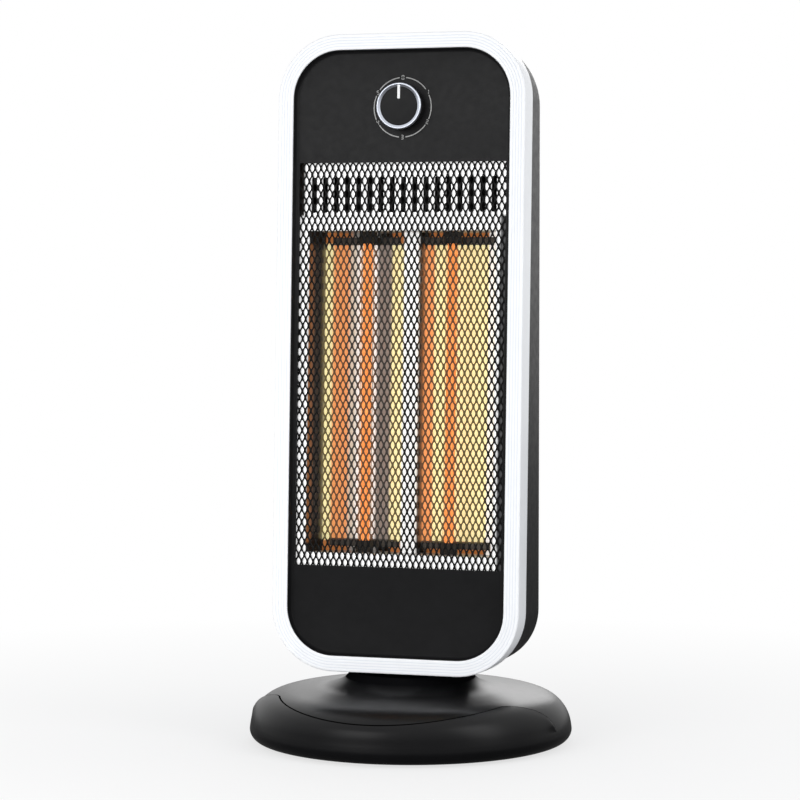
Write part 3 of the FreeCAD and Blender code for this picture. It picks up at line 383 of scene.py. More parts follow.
columns = np.arange(-COLUMN_REACH, COLUMN_REACH + 1)
rows = np.arange(LOWEST_ROW, TOP_ROW + 1)
column, row = np.meshgrid(columns, rows, indexing="ij")
rise = FIRST_ROW + row * CELL_TALL / 2
across = column * CELL_WIDE + (row % 2) * CELL_WIDE / 2
keep = np.abs(across - SLANT * rise) < MESH_HALF + CELL_WIDE / 3
cell_up = rise[keep][:, None, None] + ring_plan[None, ..., 1]
cell_x = across[keep][:, None, None] + ring_plan[None, ..., 0] - SLANT * cell_up
past_edge = np.maximum(np.abs(cell_x) - EDGE_START, 0.0)
cell_x -= np.sign(cell_x) * past_edge * (1 - EDGE_SQUEEZE)
cell_points = lean(cell_x, ring_depth[None, :, None], WINDOW_LOW + cell_up)
one_ring = grid_faces(4, CELL_POINTS, wrap_columns=True)
cell_size = 4 * CELL_POINTS
ring_starts = np.arange(keep.sum())[:, None, None] * cell_size
mesh_faces = [(one_ring[None] + ring_starts).reshape(-1, 4)]

# Where a cell has no neighbour across one of its four sides, that side gets an outer wall.
beside = np.pad(keep, 1)
rank = np.where(keep.ravel(), np.cumsum(keep.ravel()) - 1, -1).reshape(keep.shape)
third = np.arange(CELL_POINTS // 4)
back = 3 * CELL_POINTS
for side, (right, above) in enumerate(((1, 1), (0, 1), (0, -1), (1, -1))):
    place_column = np.clip(column - columns[0] + row % 2 - 1 + right, -1, len(columns)) + 1
    lonely = keep & ~beside[place_column, row - rows[0] + above + 1]
    first = side * len(third) + third
    second = (first + 1) % CELL_POINTS
    wall = points_of(first, second, second + back, first + back)
    mesh_faces.append((rank[lonely][:, None, None] * cell_size + wall[None]).reshape(-1, 4))
make_piece(
    "expanded_mesh", [(cell_points.reshape(-1, 3), np.concatenate(mesh_faces), True)],
    "head", "black_mesh", ["grille"], sharp=80,
)

# %% [markdown]
# ## Reflector
# One polished sheet is bent into two round-backed bays with a flat ridge between them and a flange
# at each side. A bent sheet is a profile carried along a straight line, so the profile is written
# once, offset by the sheet's thickness for the back, and carried up the head.

# %% Reflector
SHEET, BEND_ROUND = 0.8, 1.5
SHIELD_HALF, MOUTH_HALF, BAY_HALF, RIDGE_HALF = 83.3, 73.5, 69.5, 5.5
REFLECTOR_FRONT, BAY_WALL, BAY_SAG = 11.0, 34.0, 16.3
REFLECTOR_LOW, REFLECTOR_HIGH = 90.5, 337.7

bay_middle = (BAY_HALF + RIDGE_HALF) / 2
bay_chord = BAY_HALF - RIDGE_HALF
bay_round = (bay_chord ** 2 / 4 + BAY_SAG ** 2) / (2 * BAY_SAG)
bay_angle = math.degrees(math.asin(bay_chord / 2 / bay_round))
bay_centre = BAY_WALL + BAY_SAG - bay_round
right_bay = arc(bay_middle, bay_centre, bay_round, 90 + bay_angle, 90 - bay_angle, 25)
flange = [(BAY_HALF, BAY_WALL), (MOUTH_HALF, REFLECTOR_FRONT), (SHIELD_HALF, REFLECTOR_FRONT)]
right_half = np.concatenate([right_bay, smooth_steps(flange, BEND_ROUND)[1:]])
left_half = right_half[::-1] * np.array([-1.0, 1.0])
sheet_front = np.concatenate([left_half, right_half])


def square_to(line):
    """Unit steps square to a line at its points, where its direction is the mean of two sides."""
    ahead = np.gradient(line, axis=0)
    ahead /= np.linalg.norm(ahead, axis=1, keepdims=True)
    return points_of(-ahead[:, 1], ahead[:, 0])


sheet_back = sheet_front + SHEET * square_to(sheet_front)
sheet_loop = np.concatenate([sheet_front, sheet_back[::-1]])
reflector_ends = np.array([REFLECTOR_LOW, REFLECTOR_HIGH])[:, None]
reflector_points = lean(sheet_loop[None, :, 0], sheet_loop[None, :, 1], reflector_ends)
count = len(sheet_front)
end_strip = np.stack([np.arange(count), 2 * count - 1 - np.arange(count)])
end_caps = [
    (points[end_strip].reshape(-1, 3), grid_faces(2, count), False) for points in reflector_points
]
make_piece(
    "bent_reflector", [sheet_of(reflector_points)] + end_caps,
    "head", "bright_aluminium", ["reflector"],
)

# %% [markdown]
# ## Vent plate and sill
# Above the bays a flat bright plate lets warm air out through 17 upright slots, and below them a plain
# strip closes the window. Both are plates, so their outlines are filled on both faces and joined by
# walls.

# %% Vent plate and sill
SILL_LOW, SILL_HIGH = 78.0, 90.2
VENT_LOW, VENT_HIGH = 338.0, 392.8
SLOT_COUNT, SLOT_PITCH, SLOT_HALF = 17, 8.975, 2.1
SLOT_LOW, SLOT_HIGH, SLOT_ROUND, PLATE_ROUND = 351.8, 379.0, 1.2, 0.5

slot_middles = (np.arange(SLOT_COUNT) - (SLOT_COUNT - 1) / 2) * SLOT_PITCH
one_slot = rounded_loop(SLOT_HALF, SLOT_LOW, SLOT_HIGH, SLOT_ROUND, count=5)
vent_loops = [rounded_loop(SHIELD_HALF, VENT_LOW, VENT_HIGH, PLATE_ROUND, count=3)]
vent_loops += [one_slot + np.array([middle, 0.0]) for middle in slot_middles]
sill_loop = rounded_loop(SHIELD_HALF, SILL_LOW, SILL_HIGH, PLATE_ROUND, count=3)
plate_front, plate_rear = at_depth(REFLECTOR_FRONT), at_depth(REFLECTOR_FRONT + SHEET)
# Both plates take a finish of painted glow, with painted shade at one edge.
make_piece(
    "slotted_plate", plate(vent_loops, plate_front, plate_rear),
    "head", "bright_aluminium", ["vent_plate"], finish="painted_light_plate",
)
make_piece(
    "sill_strip", plate([sill_loop], plate_front, plate_rear),
    "head", "bright_aluminium", ["sill_plate"], finish="painted_light_plate",
)

# %% [markdown]
# ## Heating tubes
# Each bay holds a quartz tube with a flat carbon ribbon inside. A tube is a turned shape: a closed
# cross-section of wall swept once round the tube's own axis. The ribbon is a thin closed strip that
# bulges a little in the middle, as woven carbon fibre does.

# %% Quartz tubes and carbon ribbons
TUBE_SPACING, TUBE_DEPTH = 68.0, 31.0
TUBE_LOW, TUBE_HIGH = 93.5, 334.7
TUBE_OUTER, TUBE_INNER = 5.5, 4.5
RIBBON_HALF, RIBBON_THICK, RIBBON_INSET = 4.0, 0.8, 0.5
TUBE_POINTS, RIBBON_POINTS, RIBBON_ROWS = 40, 24, 60

tube_wall = np.array([
    (TUBE_OUTER, TUBE_LOW), (TUBE_OUTER, TUBE_HIGH),
    (TUBE_INNER, TUBE_HIGH), (TUBE_INNER, TUBE_LOW),
])
ribbon_turn = full_turn(RIBBON_POINTS)
ribbon_x = RIBBON_HALF * np.cos(ribbon_turn)
swell = np.sign(np.sin(ribbon_turn)) * np.abs(np.sin(ribbon_turn)) ** 0.5
ribbon_depth = RIBBON_THICK / 2 * swell
ribbon_low, ribbon_high = TUBE_LOW + RIBBON_INSET, TUBE_HIGH - RIBBON_INSET
ribbon_up = np.linspace(ribbon_low, ribbon_high, RIBBON_ROWS)[:, None]
for side, sign in (("left", -1), ("right", 1)):
    middle = sign * TUBE_SPACING / 2
    tube = turned(tube_wall, lambda a, b, up: lean(middle + a, TUBE_DEPTH + b, up), TUBE_POINTS)
    make_piece(f"glass_tube_{side}", [tube], "head", "quartz", [f"quartz_tube_{side}"])
    ribbon = capped(lean(middle + ribbon_x[None], TUBE_DEPTH + ribbon_depth[None], ribbon_up))
    make_piece(f"carbon_ribbon_{side}", ribbon, "head", "carbon_glow", [f"carbon_element_{side}"])

# %% [markdown]
# ## Knob
# The knob is a turned body with a bright ring on its rim and a white pointer on its face. Body and ring
# are profiles turned round an axis that stands square on the panel, and the pointer is a small plate.

# %% Knob
KNOB_RADIUS, KNOB_GAP, KNOB_TOP = 17.7, 0.5, 11.0
RING_WIDTH, RING_FLOOR = 2.9, 8.6
FACE_HEIGHT, SHAFT_RADIUS, GRIP_END = 10.2, 3.0, 7.5
KNOB_DRAFT, FACE_DISH, KNOB_ROUND, RING_ROUND, SINK = 0.3, 0.15, 0.5, 0.9, 0.1
POINTER_LENGTH, POINTER_HALF, POINTER_THICK, POINTER_PAST, POINTER_ROUND = 10.4, 0.95, 0.75, 1.2, 0.6
KNOB_POINTS, RING_TURN = 72, 110


def on_panel(a, b, out):
    """The knob's axis: a across, b up, and a height out of the panel."""
    return lean(a, PANEL_FRONT - out, KNOB_UP + b)


core = KNOB_RADIUS - RING_WIDTH
knob_profile = smooth_steps([
    (0.0, GRIP_END), (SHAFT_RADIUS, GRIP_END), (SHAFT_RADIUS, KNOB_GAP),
    (KNOB_RADIUS - KNOB_DRAFT, KNOB_GAP), (KNOB_RADIUS, RING_FLOOR), (core, RING_FLOOR),
    (core, FACE_HEIGHT), (0.0, FACE_HEIGHT - FACE_DISH),
], KNOB_ROUND)
knob_sheet = turned(knob_profile, on_panel, KNOB_POINTS, wrap_rows=False)
make_piece("knob_body", [knob_sheet], "knob", "knob_black", ["knob"])
ring_profile = np.concatenate([
    [(core, RING_FLOOR), (KNOB_RADIUS, RING_FLOOR)],
    arc(KNOB_RADIUS - RING_ROUND, KNOB_TOP - RING_ROUND, RING_ROUND, 0, RING_TURN, 11),
    [(core, FACE_HEIGHT - SINK)],
])
ring_sheet = turned(ring_profile, on_panel, KNOB_POINTS)
make_piece("bright_ring", [ring_sheet], "knob", "knob_chrome", ["knob_ring"])
pointer_end = KNOB_UP + core + POINTER_PAST
pointer_loop = rounded_loop(
    POINTER_HALF, pointer_end - POINTER_LENGTH, pointer_end, POINTER_ROUND, count=6,
)
face_depth = PANEL_FRONT - FACE_HEIGHT
make_piece(
    "pointer_bar",
    plate([pointer_loop], at_depth(face_depth - POINTER_THICK), at_depth(face_depth + SINK)),
    "knob", "pointer_white", ["knob_pointer"],
)

# %% [markdown]
# ## Printed dial
# The dial round the knob is printed: a thin broken circle with a plain number for each heat step. It
# could be part of the panel's finish. Here it is ink of a twentieth of a millimetre, which stays crisp
# from close by and needs no picture.

# %% Printed dial
DIAL_RADIUS, DIAL_HALF, INK = 22.7, 0.38, 0.05
NUMBER_GAP, STEP_TURN, ARC_POINTS = 6.5, 60, 24
NUMBER_HALF, NUMBER_RISE, PEN = 0.8, 1.5, 0.26
ink_front = at_depth(PANEL_FRONT - INK)


def ink_box(left, low, right, high):
    """One straight stroke of ink as a thin plate."""
    corners = np.array([(left, low), (right, low), (right, high), (left, high)])
    return plate([corners], ink_front, panel_front)


def numeral(shown, x, up):
    """A plain number from up to seven strokes, lettered as on a simple display."""
    half, tall, pen = NUMBER_HALF, NUMBER_RISE, PEN
    level = {"a": tall, "g": 0.0, "d": -tall}
    upright_at = {"f": (-half, 1), "b": (half, 1), "e": (-half, -1), "c": (half, -1)}
    strokes = []
    for letter in shown:
        if letter in level:
            left, low = -half + pen, level[letter] - pen
            right, high = half - pen, level[letter] + pen
        else:
            side, sign = upright_at[letter]
            left, right = side - pen, side + pen
            low, high = sorted((sign * pen, sign * tall))
        strokes += ink_box(x + left, up + low, x + right, up + high)
    return strokes


NUMERALS = ["adfbec", "bc", "abged", "abgcd", "fgbc", "afgcd"]
dial = []
for step, shown in enumerate(NUMERALS):
    angle = 90 - STEP_TURN * step
    start, end = angle - NUMBER_GAP, angle - STEP_TURN + NUMBER_GAP
    outer = arc(0.0, KNOB_UP, DIAL_RADIUS + DIAL_HALF, end, start, ARC_POINTS)
    inner = arc(0.0, KNOB_UP, DIAL_RADIUS - DIAL_HALF, start, end, ARC_POINTS)
    dial += plate([np.concatenate([outer, inner])], ink_front, panel_front)
    middle_x, middle_up = arc(0.0, KNOB_UP, DIAL_RADIUS, angle, angle, 1)[0]
    dial += numeral(shown, middle_x, middle_up)
make_piece("dial_print", dial, "head", "pointer_white", finish="dial_grey")

# %% [markdown]
# ## Rear cover
# The dark casing is a deep shell with an upright back, a soft rear edge and two groups of vents. Its
# side is the rounded outline carried backwards, where the last rows follow a quarter circle into the
# back. The front rim follows the leaning bezel, so its depth changes with height. The topmost vent
# lies on the soft edge, where no flat sheet can hold it, so that one is cut with a boolean.

# %% Rear cover
COVER_HALF, COVER_LOW, COVER_HIGH, COVER_CORNER, COVER_FOOT = 96.0, 60.0, 543.0, 53.0, 43.0
COVER_REAR, COVER_ROUND, COVER_WALL = 38.0, 15.0, 2.5
VENT_HALF, VENT_TALL, VENT_ROUND, VENT_PITCH, VENT_ROWS = 45.0, 4.0, 1.4, 10.0, 7
VENT_STARTS = (158.0, 468.0)
SCREW_X, SCREW_HEIGHTS, SCREW_BORE, SCREW_SINK = 55.0, (166.0, 420.8), 4.2, 3.0


def cover_rows(shrink, count=13):
    """The side from the leaning rim to the rear edge, then a quarter circle in towards the back."""
    turn = np.linspace(0, math.pi / 2, count)
    radius = COVER_ROUND - shrink
    inset = shrink + radius * (1 - np.cos(turn))
    back = COVER_REAR - COVER_ROUND + radius * np.sin(turn)
    inset = np.concatenate([[shrink], inset])
    loops = rounded_loop(COVER_HALF, COVER_LOW, COVER_HIGH, COVER_CORNER, inset, foot=COVER_FOOT)
    rim = lean_line(BEZEL_DEPTH, loops[0, :, 1])
    back = np.concatenate([rim[None], np.repeat(back[:, None], loops.shape[1], axis=1)])
    return points_of(loops[..., 0], back, loops[..., 1])


outside, inside = cover_rows(0.0), cover_rows(COVER_WALL)
one_vent = rounded_loop(VENT_HALF, 0.0, VENT_TALL, VENT_ROUND, count=5)
vent_holes = [
    one_vent + np.array([0.0, start + VENT_PITCH * row])
    for start in VENT_STARTS
    for row in range(VENT_ROWS)
]
screw_places = [(sign * SCREW_X, height) for sign in (-1, 1) for height in SCREW_HEIGHTS]
screw_holes = [circle_loop(*place, SCREW_BORE) for place in screw_places]
cover_back, cover_inside = upright(COVER_REAR), upright(COVER_REAR - COVER_WALL)
rear_holes = vent_holes[:-1] + screw_holes
make_piece(
    "casing_shell",
    [
        sheet_of(outside),
        sheet_of(inside),
        sheet_of(np.stack([outside[0], inside[0]])),
        filled([outside[-1][:, [0, 2]]] + rear_holes, cover_back),
        filled([inside[-1][:, [0, 2]]] + rear_holes, cover_inside),
    ]
    + walls(rear_holes, cover_back, cover_inside),
    "head", "black_casing_plastic", ["rear_cover"],
    cut=plate(vent_holes[-1:], upright(COVER_REAR + COVER_WALL), upright(COVER_REAR - 2 * COVER_WALL)),
)

# %% [markdown]
# ## Screw seats in the casing
# Each casing screw sits at the bottom of a round seat. The seats are small turned cups behind the
# holes of the shell, closed shapes of their own, so the screw heads have something to bear on.

# %% Screw seats
SEAT_OUTER, SEAT_BORE, SEAT_FLOOR, SEAT_POINTS = 5.0, 1.6, 1.5, 32
seat_top, seat_floor = COVER_REAR - COVER_WALL, COVER_REAR - SCREW_SINK
seat_profile = np.array([
    (SCREW_BORE, seat_top), (SEAT_OUTER, seat_top), (SEAT_OUTER, seat_floor - SEAT_FLOOR),
    (SEAT_BORE, seat_floor - SEAT_FLOOR), (SEAT_BORE, seat_floor), (SCREW_BORE, seat_floor),
])
seats = [
    turned(seat_profile, lambda a, b, back: points_of(x + a, back, height + b), SEAT_POINTS)
    for x, height in screw_places
]
make_piece("screw_seats", seats, "head", "black_casing_plastic")

# %% [markdown]
# ## Base shell
# The base is a moulded dome with a neck. Its section runs from the foot, round the rim and over the
# shoulder to a gentle slope and a concave flare into the neck, and back along the inside. The closed
# section is turned once round the upright axis. A boolean then opens the round hole for the cord
# gland at the rear, because that hole lies across the turned surface.

# %% Base shell
FOOT_RADIUS, FOOT_LOW, RIM_RADIUS, RIM_HEIGHT = 118.5, 2.0, 125.0, 10.5
SHOULDER, DOME_EDGE, DOME_ROUND = (109.0, 36.4), (94.0, 39.6), 60.0
FLARE_ROUND, FLARE_RISE, NECK_RADIUS, NECK_TOP = 24.0, 12.0, 46.0, 55.0
BUSH_RADIUS, BASE_WALL, BASE_POINTS = 22.0, 3.0, 192
SOFT_SPACING, SOFT_REACH = 1.5, 4
GLAND_HEIGHT, GLAND_HOLE, GLAND_START, GLAND_END = 16.0, 6.6, 108.0, 128.0


def bulge(start, end, radius, count):
    """The arc of a given radius from one point to another that bulges to the right of the way."""
    start, end = np.asarray(start, float), np.asarray(end, float)
    chord = end - start
    length = np.linalg.norm(chord)
    left = np.array([-chord[1], chord[0]]) / length
    centre = (start + end) / 2 + left * math.sqrt(radius ** 2 - length ** 2 / 4)
    first = math.degrees(math.atan2(*(start - centre)[::-1]))
    last = math.degrees(math.atan2(*(end - centre)[::-1]))
    return arc(centre[0], centre[1], radius, first, first + (last - first) % 360, count)


def rise_round(reach, rise):
    """Radius of the arc that leaves the upright and comes in by a reach over a rise."""
    return (reach ** 2 + rise ** 2) / (2 * reach)


foot_round = rise_round(RIM_RADIUS - FOOT_RADIUS, RIM_HEIGHT - FOOT_LOW)
rim_round = rise_round(RIM_RADIUS - SHOULDER[0], SHOULDER[1] - RIM_HEIGHT)
flare_reach = math.sqrt(FLARE_ROUND ** 2 - (FLARE_ROUND - FLARE_RISE) ** 2)
flare_end = 180 + math.degrees(math.asin((FLARE_ROUND - FLARE_RISE) / FLARE_ROUND))


def run_along(line):
    """The way travelled along a line up to each of its points."""
    return np.concatenate([[0.0], np.cumsum(np.linalg.norm(np.diff(line, axis=0), axis=1))])


def read_off(where, run, values):
    """Both columns of a table of values, read off between its rows at some places of the run."""
    return points_of(*[np.interp(where, run, column) for column in values.T])


def softened(line, spacing, reach):
    """Each point becomes the mean of its neighbours up to a reach each way; the two ends stay."""
    run = run_along(line)
    points = read_off(np.linspace(0.0, run[-1], int(run[-1] / spacing) + 1), run, line)
    before = 2 * points[0] - points[reach:0:-1]
    after = 2 * points[-1] - points[-2:-reach - 2:-1]
    padded = np.concatenate([before, points, after])
    return np.mean([padded[k:k + len(points)] for k in range(2 * reach + 1)], axis=0)


base_upper = np.concatenate([
    bulge((RIM_RADIUS, RIM_HEIGHT), SHOULDER, rim_round, 24)[:-1],
    bulge(SHOULDER, DOME_EDGE, DOME_ROUND, 12),
    arc(
        NECK_RADIUS + flare_reach, NECK_TOP - FLARE_RISE + FLARE_ROUND, FLARE_ROUND,
        270, flare_end, 20,
    ),
])
base_outside = np.concatenate([
    bulge((FOOT_RADIUS, FOOT_LOW), (RIM_RADIUS, RIM_HEIGHT), foot_round, 12)[:-1],
    softened(base_upper, SOFT_SPACING, SOFT_REACH),
])
neck_rim = np.array([(BUSH_RADIUS, NECK_TOP), (BUSH_RADIUS, NECK_TOP - BASE_WALL)])
base_inside = (base_outside + BASE_WALL * square_to(base_outside))[::-1]
base_section = np.concatenate([base_outside, neck_rim, base_inside])
gland_loop = circle_loop(0.0, GLAND_HEIGHT, GLAND_HOLE)
make_piece(
    "base_shell", [turned(base_section, points_of, BASE_POINTS)],
    "base", "black_base_plastic", ["base_cover"], sharp=40,
    cut=plate([gland_loop], upright(GLAND_END), upright(GLAND_START)),
)

# %% [markdown]
# ## Front lip of the base
# A thin crescent wraps the front of the base. In plan its inner edge is an S-line: a wide arc across
# the front that turns into a hook at each side and runs out over the rim. The crescent is a grid with
# one direction along the S-line and the other down the base's section, lifted off the surface by a
# thickness that is round at the S-line and fades out towards the rim. A matt black band along its edge
# is painted shade: it stands for the shadowed gap where the two mouldings meet.

# %% Front lip
LINE_CENTRE, LINE_RADIUS, LINE_END = -24.0, 92.6, 338.0
HOOK_ROUND, HOOK_TURN = 22.0, 26.0
LIP_THICK, LIP_ROUND, LIP_END, LIP_SINK = 1.6, 1.8, 16.0, 0.4
EDGE_SHARE, FADE_START, FULL_WIDTH, STOP_SHORT = 0.08, 0.3, 12.0, 0.05
# Width and lift of the near-black line along the lip's edge, which is painted shade.
SHADOW_LINE_RUN, SHADOW_LINE_LIFT = 1.6, 0.08

outward = base_outside[::-1]
run = run_along(outward)
fine_run = np.linspace(0.0, run[-1], 2000)
fine_line = read_off(fine_run, run, outward)
fine_normal = square_to(fine_line)
upper = fine_line[:, 1] > RIM_HEIGHT
end_run = np.interp(-LIP_END, -fine_line[:, 1], fine_run)
end_radius = np.interp(end_run, fine_run, fine_line[:, 0])
hook_centre = arc(0.0, LINE_CENTRE, LINE_RADIUS + HOOK_ROUND, LINE_END, LINE_END, 1)[0]
hook_start = LINE_END - 180
hook_end = hook_start - HOOK_TURN
hook = arc(*hook_centre, HOOK_ROUND, hook_start, hook_end, 20)
heading = arc(0.0, 0.0, 1.0, hook_end - 90, hook_end - 90, 1)[0]
inward = hook[-1] @ heading
reach = math.sqrt(inward ** 2 - hook[-1] @ hook[-1] + end_radius ** 2) - inward
right_line = np.concatenate([
    arc(0.0, LINE_CENTRE, LINE_RADIUS, 270, LINE_END, 60)[:-1],
    hook,
    hook[-1] + np.linspace(0.0, reach - STOP_SHORT, 14)[1:, None] * heading,
])
s_line = np.concatenate([right_line[:0:-1] * np.array([-1.0, 1.0]), right_line])
line_radius = np.linalg.norm(s_line, axis=1)
line_angle = np.arctan2(s_line[:, 1], s_line[:, 0])
start_run = np.interp(line_radius, fine_line[upper, 0], fine_run[upper])
width = np.maximum(end_run - start_run, 0.0)
narrow = np.clip(width / FULL_WIDTH, 0, 1)[:, None]


def on_base(place, lift):
    """A point of the base's section at a run along it, moved off it and swung to the S-line's angle."""
    section = read_off(place, fine_run, fine_line)
    section = section + points_of(lift, lift) * read_off(place, fine_run, fine_normal)
    radius, height = section[..., 0], section[..., 1]
    angle = line_angle[:, None]
    return points_of(radius * np.cos(angle), radius * np.sin(angle), height)


def rounded_edge(place):
    """A lift off the base that starts at the S-line as a quarter of an ellipse."""
    rounding = np.clip((place - start_run[:, None]) / LIP_ROUND, 0, 1)
    return LIP_THICK * np.sqrt(1 - (1 - rounding) ** 2)


def crescent(place, lift):
    """A closed band between a lifted top and an underside sunk into the base."""
    under = on_base(place, np.full_like(place, -LIP_SINK))
    return capped(np.concatenate([on_base(place, lift), under[:, ::-1]], axis=1))


near_edge = np.linspace(0, 1, 9)[:-1] ** 2 * EDGE_SHARE
share = np.concatenate([near_edge, np.linspace(EDGE_SHARE, 1, 25)])
lip_place = start_run[:, None] + width[:, None] * share[None]
fade = np.clip((share[None] - FADE_START) / (1 - FADE_START), 0, 1)
lip_lift = rounded_edge(lip_place) * (1 - fade ** 2 * (3 - 2 * fade)) * narrow
make_piece(
    "front_lip", crescent(lip_place, lip_lift),
    "base", "black_base_plastic", ["base_front_lip"], sharp=60,
)
# A thin matt black band along the lip's edge: painted shade for the gap where the mouldings meet.
shadow_line_width = np.minimum(SHADOW_LINE_RUN, width * 0.5)[:, None]
shadow_line_place = start_run[:, None] + shadow_line_width * np.linspace(0.0, 1.0, 7)[None]
make_piece(
    "lip_shadow_line", crescent(shadow_line_place, rounded_edge(shadow_line_place) * narrow + SHADOW_LINE_LIFT),
    "base", "black_base_plastic", finish="shadow_line_black",
)

# %% [markdown]
# ## Finishes
# Every finish is a small node tree on Object coordinates, so the pattern stays on the piece when it
# moves. Moulded plastic isn't one flat colour: a slow noise shifts its tone, a second one its gloss,
# and a fine one gives the grain of the mould as a bump. Metals and paints use the same three with
# other amounts.

# %% Finish helpers
NOISE_LOW, NOISE_HIGH = 0.3, 0.7
GRAIN_DEPTH, COAT_ROUGHNESS = 0.0004, 0.15
finishes = {}


def feed(tree, target, values):
    """Fill a node's inputs: an output is linked, and anything else is set as a constant."""
    for name, value in values.items():
        if isinstance(value, bpy.types.NodeSocket):
            tree.links.new(value, target.inputs[name])
        else:
            target.inputs[name].default_value = value


def node(tree, kind, values, operation=None):
    """Add a shader node, choose its operation and fill its inputs."""
    added = tree.nodes.new("ShaderNode" + kind)
    if operation:
        added.operation = operation
    feed(tree, added, values)
    return added


def arithmetic(tree, operation, first, second):
    """Two values joined by a sum, product, maximum or the like."""
    return node(tree, "Math", {0: first, 1: second}, operation).outputs["Value"]


def where(tree, kind="Object"):
    """Coordinates that belong to the piece: its place in space, or its normal."""
    return node(tree, "TexCoord", {}).outputs[kind]


def axes_of(tree, kind="Object"):
    """The same coordinates as outputs X, Y and Z."""
    return node(tree, "SeparateXYZ", {"Vector": where(tree, kind)}).outputs


def noise(tree, scale, detail=3.0):
    """A noise pattern on Object coordinates; the scale is in cells per metre."""
    values = {"Vector": where(tree), "Scale": scale, "Detail": detail}
    return node(tree, "TexNoise", values).outputs["Fac"]


def ramp(tree, source, stops):
    """A colour ramp from (place, colour) stops."""
    band = node(tree, "ValToRGB", {"Fac": source})
    points = band.color_ramp.elements
    for place, _ in stops[2:]:
        points.new(place)
    for point, (place, colour) in zip(points, stops):
        point.position = place
        point.color = (*colour, 1.0)
    return band.outputs["Color"]


def two_tones(tree, source, dark, light):
    """A ramp from a dark to a light colour over the middle of a noise."""
    return ramp(tree, source, [(NOISE_LOW, dark), (NOISE_HIGH, light)])


def spread_range(tree, source, low, high, to_low, to_high):
    """Map a value from one range to another, clamped."""
    values = {"Value": source, "From Min": low, "From Max": high, "To Min": to_low, "To Max": to_high}
    return node(tree, "MapRange", values).outputs["Result"]


def new_finish(slot):
    """A material for a slot: its node tree and its main shader."""
    material = bpy.data.materials.new(f"finish_{slot}")
    material.use_nodes = True
    finishes[slot] = material
    return material.node_tree, material.node_tree.nodes["Principled BSDF"]


def add_grain(tree, shader, scale, strength):
    """A fine noise as a bump on the surface."""
    height = noise(tree, scale, 2.0)
    bump = node(tree, "Bump", {"Strength": strength, "Distance": GRAIN_DEPTH, "Height": height})
    feed(tree, shader, {"Normal": bump.outputs["Normal"]})


def plain_finish(slot, colour, roughness, metallic=0.0, tone=0.08, tone_scale=60.0,
                 grain_scale=1500.0, grain=0.05, specular=0.5, coat=0.0, drift=0.1, gloss=None):
    """A tone that drifts, a gloss that drifts or also changes with height as a painted sheen, and a
    grain.
    """
    tree, shader = new_finish(slot)
    dark, light = [[part * share for part in colour] for share in (1 - tone, 1 + tone)]
    low, high = roughness * (1 - drift), roughness * (1 + drift)
    slow, quick = noise(tree, tone_scale), noise(tree, tone_scale * 3)
    feed(tree, shader, {
        "Base Color": two_tones(tree, slow, dark, light),
        "Roughness": spread_range(tree, quick, NOISE_LOW, NOISE_HIGH, low, high),
        "Metallic": metallic,
        "Specular IOR Level": specular,
        "Coat Weight": coat,
        "Coat Roughness": COAT_ROUGHNESS,
    })
    if gloss:
        low, high = min(gloss), max(gloss)
        share = spread_range(tree, axes_of(tree)["Z"], low, high, 0.0, 1.0)
        stops = [((height - low) / (high - low), (value,) * 3) for height, value in gloss.items()]
        feed(tree, shader, {"Specular IOR Level": ramp(tree, share, stops)})
    add_grain(tree, shader, grain_scale, grain)
    return tree, shader


# %% [markdown]
# ## Plain finishes
# Most slots need no more than a colour, a gloss and some grain. The three large black mouldings also
# get a gloss that changes with height, because a studio's light does, and one lamp can't suit them all:
# this is a painted sheen, stronger higher up, and none on the base's neck, which lies in the head's
# shade.

# %% Plain finishes
plain_finish("white_gloss_plastic", (0.865, 0.877, 0.895), 0.32, tone=0.012, grain=0.015, coat=0.15)
# Painted sheen, as specular level by height in metres: stronger where the studio's light is stronger,
# and none on the base's neck in the head's shade.
PANEL_PAINTED_SHEEN = {0.12: 0.08, 0.46: 0.19}
CASING_PAINTED_SHEEN = {0.10: 0.06, 0.30: 0.17, 0.50: 0.37}
BASE_PAINTED_SHEEN = {0.020: 0.11, 0.036: 0.27, 0.043: 0.25, 0.050: 0.0}
plain_finish("black_panel_plastic", (0.008, 0.008, 0.0085), 0.5, grain=0.06, gloss=PANEL_PAINTED_SHEEN)
plain_finish(
    "black_casing_plastic", (0.01, 0.01, 0.0105), 0.42, grain=0.1, grain_scale=2200.0,
    gloss=CASING_PAINTED_SHEEN,
)
# Grey of the groove floors: painted shade.
plain_finish("groove_shade_grey", (0.72, 0.75, 0.80), 0.4, tone=0.02, grain=0.01)
plain_finish(
    "black_base_plastic", (0.004, 0.004, 0.0045), 0.33, grain=0.01, drift=0.02, gloss=BASE_PAINTED_SHEEN,
)
# Matt black without gloss for the line along the lip's edge: painted shade.
plain_finish("shadow_line_black", (0.002, 0.002, 0.002), 0.9, specular=0.0)
plain_finish("zinc_steel", (0.55, 0.56, 0.57), 0.42, metallic=1.0, tone=0.15, tone_scale=220.0)
